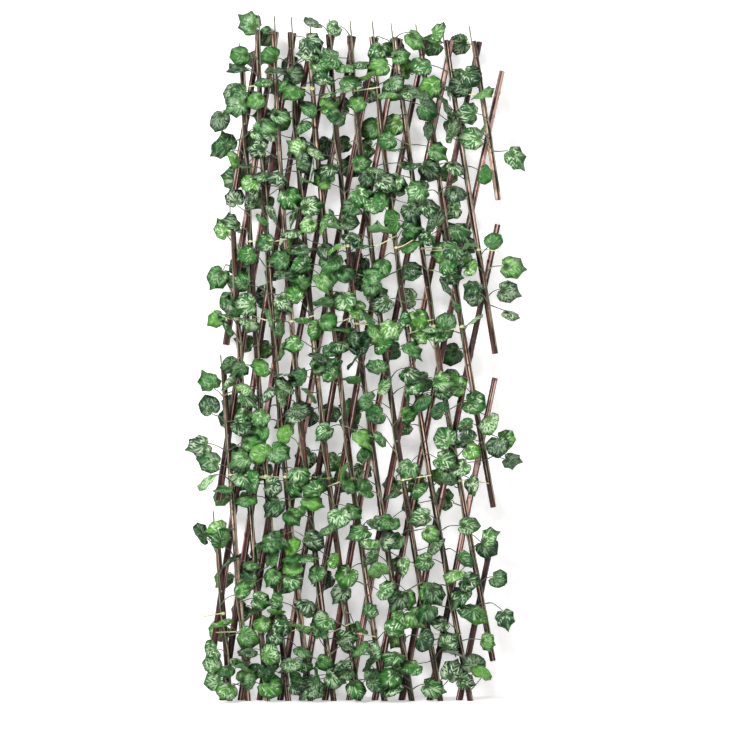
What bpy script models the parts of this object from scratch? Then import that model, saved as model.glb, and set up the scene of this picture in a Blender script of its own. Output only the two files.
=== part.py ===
"""Expanding ivy screen: a pinned lattice of willow sticks with artificial ivy along its front sticks.

The lattice has two layers of slightly bowed sticks. The front sticks lean left, the back sticks lean right,
and a pin joins every crossing. All front sticks follow one curve and all back sticks another, so each opening
of the lattice is a parallelogram, and the whole screen opens and closes about the middle pin of its bottom
row.

Metres, +Z up. The front faces -Y. The origin is the middle of the foot of the middle back stick.
"""

import math
import random

import bmesh
import bpy
from mathutils import Vector
from mathutils.bvhtree import BVHTree

# Lattice. Rows of pins are counted from the floor, and columns are half a diamond wide.
PIN_PITCH = 0.140
ROW_STEPS = 8
EVEN_ROW_PINS = 11
PIVOT_HEIGHT = 0.052
TOP_OVERHANG = 0.030
SIDE_OVERHANG = 0.118

# Lean of the sticks from upright at the screen's left and right ends. The left end stands further closed.
FRONT_LEAN_LEFT = math.radians(2.2)
FRONT_LEAN_RIGHT = math.radians(11.4)
BACK_LEAN_LEFT = math.radians(8.3)
BACK_LEAN_RIGHT = math.radians(12.6)

# Sticks. Depth is front to back, width is side to side and tapers from butt to tip.
BACK_DEPTH = 0.0120
BACK_BUTT_WIDTH = 0.0128
BACK_TIP_WIDTH = 0.0104
FRONT_DEPTH = 0.0105
FRONT_BUTT_WIDTH = 0.0112
FRONT_TIP_WIDTH = 0.0090
LAYER_GAP = 0.0003
STICK_SIDES = 8
PINS_PER_BEND = 2

# Pins. Each is tight in its front stick and turns in a blind bore of its back stick.
PIN_RADIUS = 0.00125
PIN_SIDES = 6
BORE_CLEARANCE = 0.00065
BORE_WOOD_LEFT = 0.0025
PIN_END_GAP = 0.0005
HEAD_RADIUS = 0.0024
HEAD_THICKNESS = 0.0008
HEAD_GAP = 0.0003
CUTTER_OVERRUN = 0.0010

# Stems. A stem weaves past the pins along the front of its stick, and a leaf leaves it on either side of each
# node.
STEM_WIDTH = 0.0028
STEM_DEPTH = 0.0024
STEM_GAP = 0.0003
STEM_SIDESTEP = 0.0042
STEM_FOOT_HEIGHT = 0.014
STEM_TOP_LENGTH = 0.026
NODE_LENGTH = 0.0036
NODE_INSET = 0.025
NODE_JITTER = 0.0070
NODE_SPACING = 0.046
MIDDLE_NODE_OFFSET = 0.012
FOOT_NODE_INSETS = (0.014, 0.030)

# Cable ties. Each holds a stem to its stick half way between two pins. The shortest stick, on the left, has
# none.
TIE_ROWS = (0, 2, 4, 5, 7)
TIE_GAP = 0.0003
TIE_WIDTH = 0.0034
TIE_THICKNESS = 0.0011
TIE_ROOF = 0.0015
TIE_HEAD_WIDTH = 0.0056
TIE_HEAD_LENGTH = 0.0050
TIE_HEAD_DEPTH = 0.0036
TAIL_WIDTH = 0.0024
TAIL_THICKNESS = 0.0010
TAIL_NECK = 0.0040
TAIL_LENGTH = 0.055
TAIL_RISE = 0.006

# Leaves. A petiole swings away from the stem and outwards, and its leaf sags, strays and turns from it.
PETIOLE_SHORT = 0.018
PETIOLE_LONG = 0.038
PETIOLE_THICKNESS = 0.0014
LEAF_NARROW = 0.034
LEAF_WIDE = 0.045
LEAF_THICKNESS = 0.0011
LEAF_LENGTH_SHARE = 1.02
WIDEST_SHARE = 0.40
LEAF_CLEARANCE = 0.0006
FLOOR_CLEARANCE = 0.0020
SWING_LEAST = math.radians(28)
SWING_MOST = math.radians(122)
OUTWARDS_SHARES = (0.10, 0.55)
SAG_SHARES = (0.1, 1.3)
STRAY_SHARES = (0.35, 0.25, 0.30)
TURN_SHARE = 0.42
LIFT_SHARE = 0.15
FLATTEST_SHARE = 0.35
STRAIGHTEST_SHARE = 0.30
LEAF_TRIES = 50

# Leaves behind the sticks. A petiole bends back beside its stick and through the lattice, and its leaf hangs
# flat. They leave free the flats where the screen is fastened, each given as its back stick and the pin below
# its middle.
BEHIND_SHARE = 0.50
BEHIND_TRIES = 60
NECK_SHORT = 0.004
NECK_LONG = 0.015
BEND_SHARE = 0.22
BEHIND_GAP_LEAST = 0.0042
BEHIND_GAP_MOST = 0.0090
BEHIND_DEPTH = 0.0180
BEHIND_STRAY_SHARES = (0.45, 0.03, 0.40)
BEHIND_TURN_SHARE = 0.07
FASTENING_WIDTH = 0.018
FASTENING_PLACES = ((11, 6), (11, 1), (-1, 6), (19, 0))

# Some leaf nodes are bare: a share of those low down, above the ones at the floor, and of those at the top.
LOW_BAND = (0.11, 0.36)
LOW_BARE_SHARE = 0.24
HIGH_BAND = (1.13, 1.30)
HIGH_BARE_SHARE = 0.18
SEED = 11

COLOURS = {
    "back_stick": ((0.115, 0.038, 0.026), 0.55, 0.0),
    "front_stick": ((0.150, 0.066, 0.042), 0.58, 0.0),
    "pin": ((0.42, 0.38, 0.34), 0.38, 1.0),
    "ivy": ((0.050, 0.240, 0.045), 0.45, 0.0),
    "tie": ((0.62, 0.66, 0.38), 0.50, 0.0),
}

UP = Vector((0.0, 0.0, 1.0))
ACROSS = Vector((1.0, 0.0, 0.0))

FIRST_BACK = 1 - ROW_STEPS
LAST_BACK = 2 * EVEN_ROW_PINS - 1
FIRST_FRONT = 1
LAST_FRONT = 2 * EVEN_ROW_PINS + ROW_STEPS - 1
LAST_COLUMN = 2 * EVEN_ROW_PINS
MIDDLE = EVEN_ROW_PINS if EVEN_ROW_PINS % 2 else EVEN_ROW_PINS + 1

BACK_MIDDLE_Y = 0.0
INNER_BACK_Y = BACK_MIDDLE_Y - BACK_DEPTH / 2
INNER_FRONT_Y = INNER_BACK_Y - LAYER_GAP
FRONT_MIDDLE_Y = INNER_FRONT_Y - FRONT_DEPTH / 2
FRONT_FACE_Y = INNER_FRONT_Y - FRONT_DEPTH
STEM_BACK_Y = FRONT_FACE_Y - STEM_GAP
BORE_RADIUS = PIN_RADIUS + BORE_CLEARANCE
BACK_FACE_Y = BACK_MIDDLE_Y + BACK_DEPTH / 2
BORE_END_Y = BACK_FACE_Y - BORE_WOOD_LEFT


def clear_scene():
    for old in list(bpy.data.objects):
        bpy.data.objects.remove(old)


def make_material(name):
    colour, roughness, metallic = COLOURS[name]
    material = bpy.data.materials.new(name)
    material.use_nodes = True
    shader = material.node_tree.nodes["Principled BSDF"]
    shader.inputs["Base Color"].default_value = (*colour, 1.0)
    shader.inputs["Roughness"].default_value = roughness
    shader.inputs["Metallic"].default_value = metallic
    material.diffuse_color = (*colour, 1.0)
    return material


def add_object(name, bm, material, smooth=False):
    """Turns a bmesh into a named object with its faces pointing out."""
    bmesh.ops.recalc_face_normals(bm, faces=bm.faces)
    if bm.calc_volume(signed=True) < 0:
        bmesh.ops.reverse_faces(bm, faces=bm.faces)
    mesh = bpy.data.meshes.new(name)
    bm.to_mesh(mesh)
    bm.free()
    if smooth:
        mesh.shade_smooth()
        mesh.set_sharp_from_angle(angle=math.radians(50))
    thing = bpy.data.objects.new(name, mesh)
    bpy.context.scene.collection.objects.link(thing)
    if material:
        mesh.materials.append(material)
    else:
        thing.hide_render = True
        thing.display_type = "WIRE"
    return thing


def boolean(thing, tool, operation):
    modifier = thing.modifiers.new(operation.title(), "BOOLEAN")
    modifier.operation = operation
    modifier.object = tool
    modifier.solver = "EXACT"


# Lattice geometry. A back stick is numbered by column minus row and a front stick by column plus row, both by
# twos, so a stick with a pin in the bottom row has the number of that pin's column.


def lean(number, first, last, left, right):
    """The lean of the stretch that starts at this stick, growing evenly from the left end to the right."""
    share = (number - first) / (last - first)
    return left + (right - left) * share


def curve_along_fronts():
    """Where each back stick crosses any front stick, measured along the front sticks' shared curve."""
    points = {FIRST_BACK: Vector((0.0, 0.0))}
    for back in range(FIRST_BACK, LAST_BACK, 2):
        tilt = lean(back, FIRST_BACK, LAST_BACK, FRONT_LEAN_LEFT, FRONT_LEAN_RIGHT)
        points[back + 2] = points[back] + PIN_PITCH * Vector((math.sin(tilt), -math.cos(tilt)))
    return points


def curve_along_backs():
    """Where each front stick crosses any back stick, measured along the back sticks' shared curve."""
    points = {FIRST_FRONT: Vector((0.0, 0.0))}
    for front in range(FIRST_FRONT, LAST_FRONT, 2):
        tilt = lean(front, FIRST_FRONT, LAST_FRONT, BACK_LEAN_LEFT, BACK_LEAN_RIGHT)
        points[front + 2] = points[front] + PIN_PITCH * Vector((math.sin(tilt), math.cos(tilt)))
    return points


ALONG_FRONTS = curve_along_fronts()
ALONG_BACKS = curve_along_backs()


def crosses(back, front):
    row = (front - back) // 2
    column = (front + back) // 2
    return 0 <= row <= ROW_STEPS and 0 <= column <= LAST_COLUMN


def pivot_to_foot():
    """How far the middle back stick's foot lies to the left of the pivot pin."""
    tilt = lean(MIDDLE, FIRST_FRONT, LAST_FRONT, BACK_LEAN_LEFT, BACK_LEAN_RIGHT)
    return PIVOT_HEIGHT * math.tan(tilt)


def crossing(back, front):
    """(x, z) of the pin where two sticks cross."""
    middle = ALONG_FRONTS[MIDDLE] + ALONG_BACKS[MIDDLE]
    here = ALONG_FRONTS[back] + ALONG_BACKS[front]
    return here - middle + Vector((pivot_to_foot(), PIVOT_HEIGHT))


def pins_of_back(back):
    """The front sticks that this back stick crosses, from the floor up."""
    return [front for front in range(FIRST_FRONT, LAST_FRONT + 1, 2) if crosses(back, front)]


def pins_of_front(front):
    """The back sticks that this front stick crosses, from the floor up."""
    return [back for back in range(LAST_BACK, FIRST_BACK - 1, -2) if crosses(back, front)]


def with_ends(pins, stands, reaches_top):
    """The pins' points, with the stick's foot or free end below them and its tip or free end above."""
    down = (pins[0] - pins[1]).normalized()
    up = (pins[-1] - pins[-2]).normalized()
    foot = pins[0] + down * (pins[0].y / -down.y if stands else SIDE_OVERHANG)
    tip = pins[-1] + up * (TOP_OVERHANG if reaches_top else SIDE_OVERHANG)
    bends = pins[::PINS_PER_BEND]
    if bends[-1] is not pins[-1]:
        bends.append(pins[-1])
    return [foot, *bends, tip]


def back_path(back):
    pins = [crossing(back, front) for front in pins_of_back(back)]
    return with_ends(pins, crosses(back, back), crosses(back, back + 2 * ROW_STEPS))


def front_path(front):
    pins = [crossing(back, front) for back in pins_of_front(front)]
    return with_ends(pins, crosses(front, front), crosses(front - 2 * ROW_STEPS, front))


# Sticks


def stick_outline(width, middle_y, depth):
    """A stick's corners as (across, y), with flats to the front, back and sides."""
    flat = math.cos(math.pi / STICK_SIDES)
    corners = []
    for k in range(STICK_SIDES):
        angle = (k + 0.5) * math.tau / STICK_SIDES
        corners.append((width / 2 * math.cos(angle) / flat, middle_y + depth / 2 * math.sin(angle) / flat))
    return corners


def stick_mesh(path, stands, middle_y, depth, butt_width, tip_width):
    """A faceted rod along (x, z) points, with flats front and back. A foot on the floor is cut level."""
    bm = bmesh.new()
    marks = marks_along(path)
    rings = []
    for n, point in enumerate(path):
        along = (path[min(n + 1, len(path) - 1)] - path[max(n - 1, 0)]).normalized()
        side = Vector((along.y, -along.x))
        width = butt_width + (tip_width - butt_width) * marks[n] / marks[-1]
        ring = []
        for across, y in stick_outline(width, middle_y, depth):
            spot = point + side * across
            if stands and n == 0:
                spot = spot - along * (spot.y / along.y)
            ring.append(bm.verts.new((spot.x, y, spot.y)))
        rings.append(ring)
    for low, high in zip(rings, rings[1:]):
        for k in range(STICK_SIDES):
            m = (k + 1) % STICK_SIDES
            bm.faces.new((low[k], low[m], high[m], high[k]))
    bm.faces.new(rings[0])
    bm.faces.new(rings[-1])
    return bm


def prism(bm, centre, radius, sides, from_y, to_y):
    """A straight prism along Y in an open bmesh."""
    ends = []
    for y in (from_y, to_y):
        ring = []
        for k in range(sides):
            angle = (k + 0.5) * math.tau / sides
            ring.append(bm.verts.new((centre.x + radius * math.cos(angle), y, centre.y + radius * math.sin(angle))))
        ends.append(ring)
    for k in range(sides):
        m = (k + 1) % sides
        bm.faces.new((ends[0][k], ends[0][m], ends[1][m], ends[1][k]))
    bm.faces.new(ends[0])
    bm.faces.new(ends[1])
    return ends


def is_pivot(back, front):
    return back == MIDDLE and front == MIDDLE


def make_back_stick(back, number, material):
    """One back stick, with a blind bore for each pin that enters it from the front."""
    stands = crosses(back, back)
    bm = stick_mesh(back_path(back), stands, BACK_MIDDLE_Y, BACK_DEPTH, BACK_BUTT_WIDTH, BACK_TIP_WIDTH)
    stick = add_object(f"back_stick_{number:02d}", bm, material, smooth=True)
    bores = bmesh.new()
    for front in pins_of_back(back):
        prism(bores, crossing(back, front), BORE_RADIUS, PIN_SIDES, INNER_BACK_Y - CUTTER_OVERRUN, BORE_END_Y)
    boolean(stick, add_object(f"bores_of_back_stick_{number:02d}", bores, None), "DIFFERENCE")
    return stick


def make_front_stick(front, number, material):
    """One front stick with its pins, which are driven through it from the front."""
    stands = crosses(front, front)
    bm = stick_mesh(front_path(front), stands, FRONT_MIDDLE_Y, FRONT_DEPTH, FRONT_BUTT_WIDTH, FRONT_TIP_WIDTH)
    stick = add_object(f"front_stick_{number:02d}", bm, material, smooth=True)
    pins = bmesh.new()
    for back in pins_of_front(front):
        if is_pivot(back, front):
            bore = bmesh.new()
            prism(
                bore,
                crossing(back, front),
                BORE_RADIUS,
                PIN_SIDES,
                FRONT_FACE_Y - CUTTER_OVERRUN,
                INNER_FRONT_Y + CUTTER_OVERRUN,
            )
            boolean(stick, add_object("bore_for_pivot_pin", bore, None), "DIFFERENCE")
        else:
            prism(pins, crossing(back, front), PIN_RADIUS, PIN_SIDES, FRONT_MIDDLE_Y, BORE_END_Y - PIN_END_GAP)
    boolean(stick, add_object(f"pins_of_front_stick_{number:02d}", pins, None), "UNION")
    return stick


def make_pivot_pin(material):
    """The loose pin that the middle front and back sticks both turn on, headed at the front."""
    bm = bmesh.new()
    centre = crossing(MIDDLE, MIDDLE)
    head_back = FRONT_FACE_Y - HEAD_GAP
    ends = prism(bm, centre, PIN_RADIUS, 2 * PIN_SIDES, head_back, BORE_END_Y - PIN_END_GAP)
    bmesh.ops.delete(bm, geom=[f for f in bm.faces if len(f.verts) > 4 and f.verts[0] in ends[0]], context="FACES")
    head = []
    for radius, y in ((HEAD_RADIUS, head_back), (HEAD_RADIUS, head_back - HEAD_THICKNESS)):
        ring = []
        for k in range(2 * PIN_SIDES):
            angle = (k + 0.5) * math.tau / (2 * PIN_SIDES)
            ring.append(bm.verts.new((centre.x + radius * math.cos(angle), y, centre.y + radius * math.sin(angle))))
        head.append(ring)
    for low, high in ((ends[0], head[0]), (head[0], head[1])):
        for k in range(len(low)):
            m = (k + 1) % len(low)
            bm.faces.new((low[k], low[m], high[m], high[k]))
    bm.faces.new(head[1])
    return add_object("pivot_pin", bm, material, smooth=True)


# Ivy


def marks_along(points):
    """The distance of each point from the first, along the line through them."""
    marks = [0.0]
    for a, b in zip(points, points[1:]):
        marks.append(marks[-1] + (b - a).length)
    return marks


def along_stick(front):
    """A front stick's (x, z) points with the distance from its foot, every pin included."""
    backs = pins_of_front(front)
    path = front_path(front)
    points = [path[0], *[crossing(back, front) for back in backs], path[-1]]
    return points, marks_along(points)


def point_at(points, marks, distance):
    """(x, z) and direction at a distance from the foot. It carries on straight past the tip."""
    n = 0
    while n < len(marks) - 2 and distance > marks[n + 1]:
        n += 1
    along = (points[n + 1] - points[n]).normalized()
    return points[n] + along * (distance - marks[n]), along


def stem_nodes(front, rng):
    """The stem's leaf nodes as (distance from the foot, sidestep).

    There is one on either side of each pin, and one on either side of the middle between two pins, clear of a tie
    there. The stem passes each pin on the other hand than the last, so it crosses its stick half way between them.
    """
    points, marks = along_stick(front)
    hands = [STEM_SIDESTEP if n % 2 else -STEM_SIDESTEP for n in range(len(marks))]
    outer = (NODE_INSET, NODE_INSET + NODE_SPACING)
    nodes = [(marks[1] - distance, hands[1]) for distance in reversed(FOOT_NODE_INSETS)]
    for n in range(1, len(marks) - 2):
        inset = NODE_INSET + rng.uniform(-NODE_JITTER, NODE_JITTER)
        middle = (marks[n] + marks[n + 1]) / 2
        half_run = middle - marks[n] - inset
        nodes.append((marks[n] + inset, hands[n]))
        for offset in (-MIDDLE_NODE_OFFSET, MIDDLE_NODE_OFFSET):
            nodes.append((middle + offset, hands[n + 1] * offset / half_run))
        nodes.append((marks[n + 1] - inset, hands[n + 1]))
    nodes += [(marks[-2] + distance, hands[-2]) for distance in outer]
    low = STEM_FOOT_HEIGHT + NODE_LENGTH
    high = marks[-1] + STEM_TOP_LENGTH - NODE_LENGTH
    return points, marks, [node for node in nodes if low < node[0] < high]


def stem_ring(bm, points, marks, distance, sidestep):
    """A triangle of the stem: left and right corners against the stick, and a ridge to the front."""
    spot, along = point_at(points, marks, distance)
    side = Vector((along.y, -along.x))
    ring = []
    for across, y in (
        (-STEM_WIDTH / 2, STEM_BACK_Y),
        (STEM_WIDTH / 2, STEM_BACK_Y),
        (0.0, STEM_BACK_Y - STEM_DEPTH),
    ):
        corner = spot + side * (sidestep + across)
        ring.append(bm.verts.new((corner.x, y, corner.y)))
    return ring


def join_rings(bm, low, high):
    for k in range(3):
        m = (k + 1) % 3
        bm.faces.new((low[k], low[m], high[m], high[k]))


def leaf_pose(rng, attempt, side):
    """A petiole's direction and length and a leaf's direction, facing and width. Later attempts reach out more."""
    swing = side * rng.uniform(SWING_LEAST, SWING_MOST)
    outwards = rng.uniform(OUTWARDS_SHARES[0], OUTWARDS_SHARES[1] + attempt / LEAF_TRIES)
    leaving = Vector((math.sin(swing), -outwards, math.cos(swing))).normalized()
    petiole = rng.uniform(PETIOLE_SHORT, PETIOLE_LONG)
    sag = UP * -rng.uniform(*SAG_SHARES)
    stray = Vector([rng.gauss(0, share) for share in STRAY_SHARES])
    pointing = (leaving + sag + stray).normalized()
    look = Vector((rng.gauss(0, TURN_SHARE), -1.0, rng.gauss(LIFT_SHARE, TURN_SHARE))).normalized()
    facing = look - pointing * look.dot(pointing)
    if facing.length < FLATTEST_SHARE or pointing.dot(leaving) < STRAIGHTEST_SHARE:
        return None
    return leaving, petiole, pointing, facing.normalized(), rng.uniform(LEAF_NARROW, LEAF_WIDE)


def least_twisted(ring, travel, following):
    """The ring faced along its travel and started where its edges to the following ring are shortest."""
    if (ring[1] - ring[0]).cross(ring[2] - ring[0]).dot(travel) < 0:
        ring = [ring[0], ring[2], ring[1]]

    def edges(turn):
        ahead = following[1:] + following[:1]
        return sum((a + travel - b).length + (a + travel - c).length for a, b, c in zip(turn, following, ahead))

    return min((ring[n:] + ring[:n] for n in range(len(ring))), key=edges)


def ring_at(middle, across, facing, wide, thick):
    half = across * (wide / 2)
    return [middle - half, middle + half, middle - facing * thick]


def front_leaf(rng, root, side, attempt):
    """A leaf in front: its petiole's direction, its facing, its rings from the stem outwards and its tip."""
    pose = leaf_pose(rng, attempt, side)
    if pose is None:
        return None
    leaving, petiole, pointing, facing, width = pose
    base = sum(root, Vector()) / 3 + leaving * petiole
    across = pointing.cross(facing).normalized()
    length = width * LEAF_LENGTH_SHARE
    rings = [
        ring_at(base, across, facing, PETIOLE_THICKNESS, PETIOLE_THICKNESS),
        ring_at(base + pointing * (length * WIDEST_SHARE), across, facing, width, LEAF_THICKNESS),
    ]
    return leaving, facing, [least_twisted(root, leaving * petiole, rings[0]), *rings], base + pointing * length


def behind_leaf(rng, root, side):
    """As front_leaf, for a leaf behind the sticks, with one more ring where its petiole bends back."""
    swing = side * rng.uniform(SWING_LEAST, SWING_MOST)
    leaving = Vector((math.sin(swing), -rng.uniform(*OUTWARDS_SHARES), math.cos(swing))).normalized()
    neck = leaving * rng.uniform(NECK_SHORT, NECK_LONG)
    bend = sum(root, Vector()) / 3 + neck
    through = Vector((rng.gauss(0, BEND_SHARE), 1.0, rng.gauss(0, BEND_SHARE))).normalized()
    depth = BACK_FACE_Y + rng.uniform(BEHIND_GAP_LEAST, BEHIND_GAP_MOST) - bend.y
    base = bend + through * (depth / through.y)
    stray = Vector([rng.gauss(0, share) for share in BEHIND_STRAY_SHARES])
    pointing = (Vector((leaving.x, 0.0, leaving.z)) - UP * rng.uniform(*SAG_SHARES) + stray).normalized()
    look = Vector((rng.gauss(0, BEHIND_TURN_SHARE), -1.0, rng.gauss(0, BEHIND_TURN_SHARE)))
    facing = (look - pointing * look.dot(pointing)).normalized()
    across = pointing.cross(facing).normalized()
    width = rng.uniform(LEAF_NARROW, LEAF_WIDE)
    length = width * LEAF_LENGTH_SHARE
    to_base = pointing.rotation_difference((through + pointing).normalized())
    to_reach = pointing.rotation_difference(through)
    to_bend = through.rotation_difference((leaving + through).normalized())
    bend_across, bend_facing = to_bend @ (to_reach @ across), to_bend @ (to_reach @ facing)
    rings = [
        ring_at(bend, bend_across, bend_facing, PETIOLE_THICKNESS, PETIOLE_THICKNESS),
        ring_at(base, to_base @ across, to_base @ facing, PETIOLE_THICKNESS, PETIOLE_THICKNESS),
        ring_at(base + pointing * (length * WIDEST_SHARE), across, facing, width, LEAF_THICKNESS),
    ]
    return leaving, facing, [least_twisted(root, neck, rings[0]), *rings], base + pointing * length


def leaf_triangles(ring_count):
    """The triangles that skin a leaf's rings, with its tip as the last corner."""
    triangles = []
    for low in range(0, 3 * ring_count - 3, 3):
        for k in range(3):
            m = (k + 1) % 3
            triangles += [(low + k, low + m, low + 3 + m), (low + k, low + 3 + m, low + 3 + k)]
    last = 3 * ring_count - 3
    return triangles + [(last + k, last + (k + 1) % 3, last + 3) for k in range(3)]


def folds_into_itself(rings, tip):
    """Whether a leaf's skin cuts through itself anywhere but where its triangles meet."""
    corners = [corner for ring in rings for corner in ring] + [tip]
    triangles = leaf_triangles(len(rings))
    tree = BVHTree.FromPolygons(corners, triangles)
    return any(not set(triangles[a]) & set(triangles[b]) for a, b in tree.overlap(tree))


def leaf_guard(rings, tip, ways):
    """A leaf and copies of it moved a little each way along these ways, for finding what it would touch."""
    corners = [corner for ring in rings for corner in ring] + [tip]
    shifts = [Vector()] + [way * distance for way in ways for distance in (LEAF_CLEARANCE, -LEAF_CLEARANCE)]
    return gather([([corner + shift for corner in corners], leaf_triangles(len(rings))) for shift in shifts])


def place_leaf(rng, root, side, own_stem, solids, placed, behind):
    """The first pose in which a leaf from its stem's root is clear of the sticks, stems and leaves, or None."""
    for attempt in range(BEHIND_TRIES if behind else LEAF_TRIES):
        leaf = behind_leaf(rng, root, side) if behind else front_leaf(rng, root, side, attempt)
        if leaf is None:
            continue
        leaving, facing, rings, tip = leaf
        ways = (facing, ACROSS) if behind else (facing,)
        blade = [tip, *rings[-1], *rings[-2]]
        if min(corner.z for corner in blade) < FLOOR_CLEARANCE:
            continue
        if behind and not all(LEAF_CLEARANCE < corner.y - BACK_FACE_Y < BEHIND_DEPTH for corner in blade):
            continue
        if folds_into_itself(rings, tip):
            continue
        whole = leaf_guard(rings, tip, ways)
        off_the_stem = [[corner + leaving * STEM_DEPTH for corner in rings[0]], *rings[1:]]
        if whole.overlap(solids) or leaf_guard(off_the_stem, tip, ways).overlap(own_stem):
            continue
        reach = 2 * (PETIOLE_LONG + LEAF_WIDE) + BEHIND_DEPTH
        if any((tip - other).length < reach and whole.overlap(tree) for other, tree in placed):
            continue
        placed.append((tip, whole))
        return rings, tip
    return None


def add_leaf(bm, root, rings, tip):
    """Grows a petiole and a leaf from a triangle of the stem, so that stem and leaf are one skin."""
    corners = []
    for spot in rings[0]:
        corners.append(min(root, key=lambda vert: (vert.co - spot).length))
    for ring in rings[1:]:
        corners += [bm.verts.new(corner) for corner in ring]
    corners.append(bm.verts.new(tip))
    for triangle in leaf_triangles(len(rings)):
        bm.faces.new([corners[index] for index in triangle])


def make_stem(front, rng):
    """A stem's bmesh with its node faces left open, and its openings as (side, corners)."""
    bm = bmesh.new()
    points, marks, nodes = stem_nodes(front, rng)
    first = stem_ring(bm, points, marks, STEM_FOOT_HEIGHT, nodes[0][1])
    bm.faces.new(first)
    last = first
    openings = []
    for distance, sidestep in nodes:
        low = stem_ring(bm, points, marks, distance - NODE_LENGTH / 2, sidestep)
        high = stem_ring(bm, points, marks, distance + NODE_LENGTH / 2, sidestep)
        join_rings(bm, last, low)
        bm.faces.new((low[0], low[1], high[1], high[0]))
        openings.append((-1, (low[2], low[0], high[0], high[2])))
        openings.append((1, (low[1], low[2], high[2], high[1])))
        last = high
    top = stem_ring(bm, points, marks, marks[-1] + STEM_TOP_LENGTH, nodes[-1][1])
    join_rings(bm, last, top)
    bm.faces.new(top)
    return bm, openings


def skin(bm):
    """The corners and faces of a stem, for finding leaves that would touch it."""
    bm.verts.index_update()
    return [vert.co.copy() for vert in bm.verts], [tuple(vert.index for vert in face.verts) for face in bm.faces]


def gather(trees):
    """One tree for several lists of corners and faces."""
    corners, faces = [], []
    for some_corners, some_faces in trees:
        start = len(corners)
        corners += some_corners
        faces += [tuple(start + index for index in face) for face in some_faces]
    return BVHTree.FromPolygons(corners, faces)


def tie_outline(width, spread):
    """The corners of a loop round a front stick and its stem as (across, y), spread outwards from a snug fit."""
    snug = TIE_GAP + spread
    corners = stick_outline(width + 2 * snug, FRONT_MIDDLE_Y, FRONT_DEPTH + 2 * snug)
    roof_y = STEM_BACK_Y - STEM_DEPTH - snug
    front_facet = STICK_SIDES * 3 // 4
    half_roof = (TIE_ROOF + spread) / 2
    roof = [(-half_roof, roof_y), (half_roof, roof_y)]
    return corners[:front_facet] + roof + corners[front_facet:]


def make_tie(front, number, material):
    """A cable tie round a front stick and its stem, with its head to the front and its tail to one side."""
    points, marks = along_stick(front)
    first_row = (front - pins_of_front(front)[0]) // 2
    low = 1 + TIE_ROWS[number % len(TIE_ROWS)] - first_row
    distance = (marks[low] + marks[low + 1]) / 2
    path = front_path(front)
    centre, along = point_at(path, marks_along(path), distance)
    side = Vector((along.y, -along.x))
    width = FRONT_BUTT_WIDTH + (FRONT_TIP_WIDTH - FRONT_BUTT_WIDTH) * distance / marks[-1]
    bm = bmesh.new()

    def corner(across, y, up):
        spot = centre + side * across + along * up
        return bm.verts.new((spot.x, y, spot.y))

    inner, outer = (tie_outline(width, spread) for spread in (0.0, TIE_THICKNESS))
    rings = []
    for outline, up in ((inner, -1), (outer, -1), (outer, 1), (inner, 1)):
        rings.append([corner(across, y, up * TIE_WIDTH / 2) for across, y in outline])
    roof = STICK_SIDES * 3 // 4
    count = len(inner)
    for n, ring in enumerate(rings):
        following = rings[(n + 1) % len(rings)]
        for k in range(count):
            if n == 1 and k == roof:
                continue
            m = (k + 1) % count
            bm.faces.new((ring[k], ring[m], following[m], following[k]))
    base = [rings[1][roof], rings[1][roof + 1], rings[2][roof + 1], rings[2][roof]]
    head_y = base[0].co.y - TIE_HEAD_DEPTH
    head = []
    for across, up in ((-1, -1), (1, -1), (1, 1), (-1, 1)):
        head.append(corner(across * TIE_HEAD_WIDTH / 2, head_y, up * TIE_HEAD_LENGTH / 2))
    hand = 1 if number % 2 else -1
    open_side = 1 if hand > 0 else 3
    for k in range(4):
        if k != open_side:
            m = (k + 1) % 4
            bm.faces.new((base[k], base[m], head[m], head[k]))
    bm.faces.new(head)
    m = (open_side + 1) % 4
    low_side = [base[open_side], base[m], head[m], head[open_side]]
    tail_y = base[0].co.y - TIE_HEAD_DEPTH / 2
    half_width = math.copysign(TAIL_WIDTH / 2, low_side[0].co.z - low_side[1].co.z)
    sections = [low_side]
    for reach, rise in ((TIE_HEAD_WIDTH / 2 + TAIL_NECK, 0.0), (TAIL_LENGTH, TAIL_RISE)):
        ring = []
        for y, up in ((1, 1), (1, -1), (-1, -1), (-1, 1)):
            ring.append(corner(hand * reach, tail_y + y * TAIL_THICKNESS / 2, rise + up * half_width))
        sections.append(ring)
    for ring, following in zip(sections, sections[1:]):
        for k in range(4):
            m = (k + 1) % 4
            bm.faces.new((ring[k], ring[m], following[m], following[k]))
    bm.faces.new(sections[-1])
    return add_object(f"cable_tie_{number:02d}", bm, material)


def fastening_guards():
    """Blocks behind the flats where the screen is fastened, as corners and faces."""
    guards = []
    for back, low in FASTENING_PLACES:
        fronts = pins_of_back(back)
        start = low - low % PINS_PER_BEND
        ends = [crossing(back, fronts[n]) for n in (start, min(start + PINS_PER_BEND, len(fronts) - 1))]
        corners = []
        for end in ends:
            for across in (-FASTENING_WIDTH / 2, FASTENING_WIDTH / 2):
                for y in (BACK_FACE_Y + LEAF_CLEARANCE, BACK_FACE_Y + 2 * BEHIND_DEPTH):
                    corners.append(Vector((end.x + across, y, end.y)))
        faces = [(0, 1, 3, 2), (4, 6, 7, 5), (0, 4, 5, 1), (2, 3, 7, 6), (0, 2, 6, 4), (1, 5, 7, 3)]
        guards.append((corners, faces))
    return guards


def is_bare(rng, height):
    """Whether a leaf node at this height has lost its leaf."""
    chance = rng.random()
    for (low, high), share in ((LOW_BAND, LOW_BARE_SHARE), (HIGH_BAND, HIGH_BARE_SHARE)):
        if low < height < high:
            return chance < share
    return False


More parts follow.
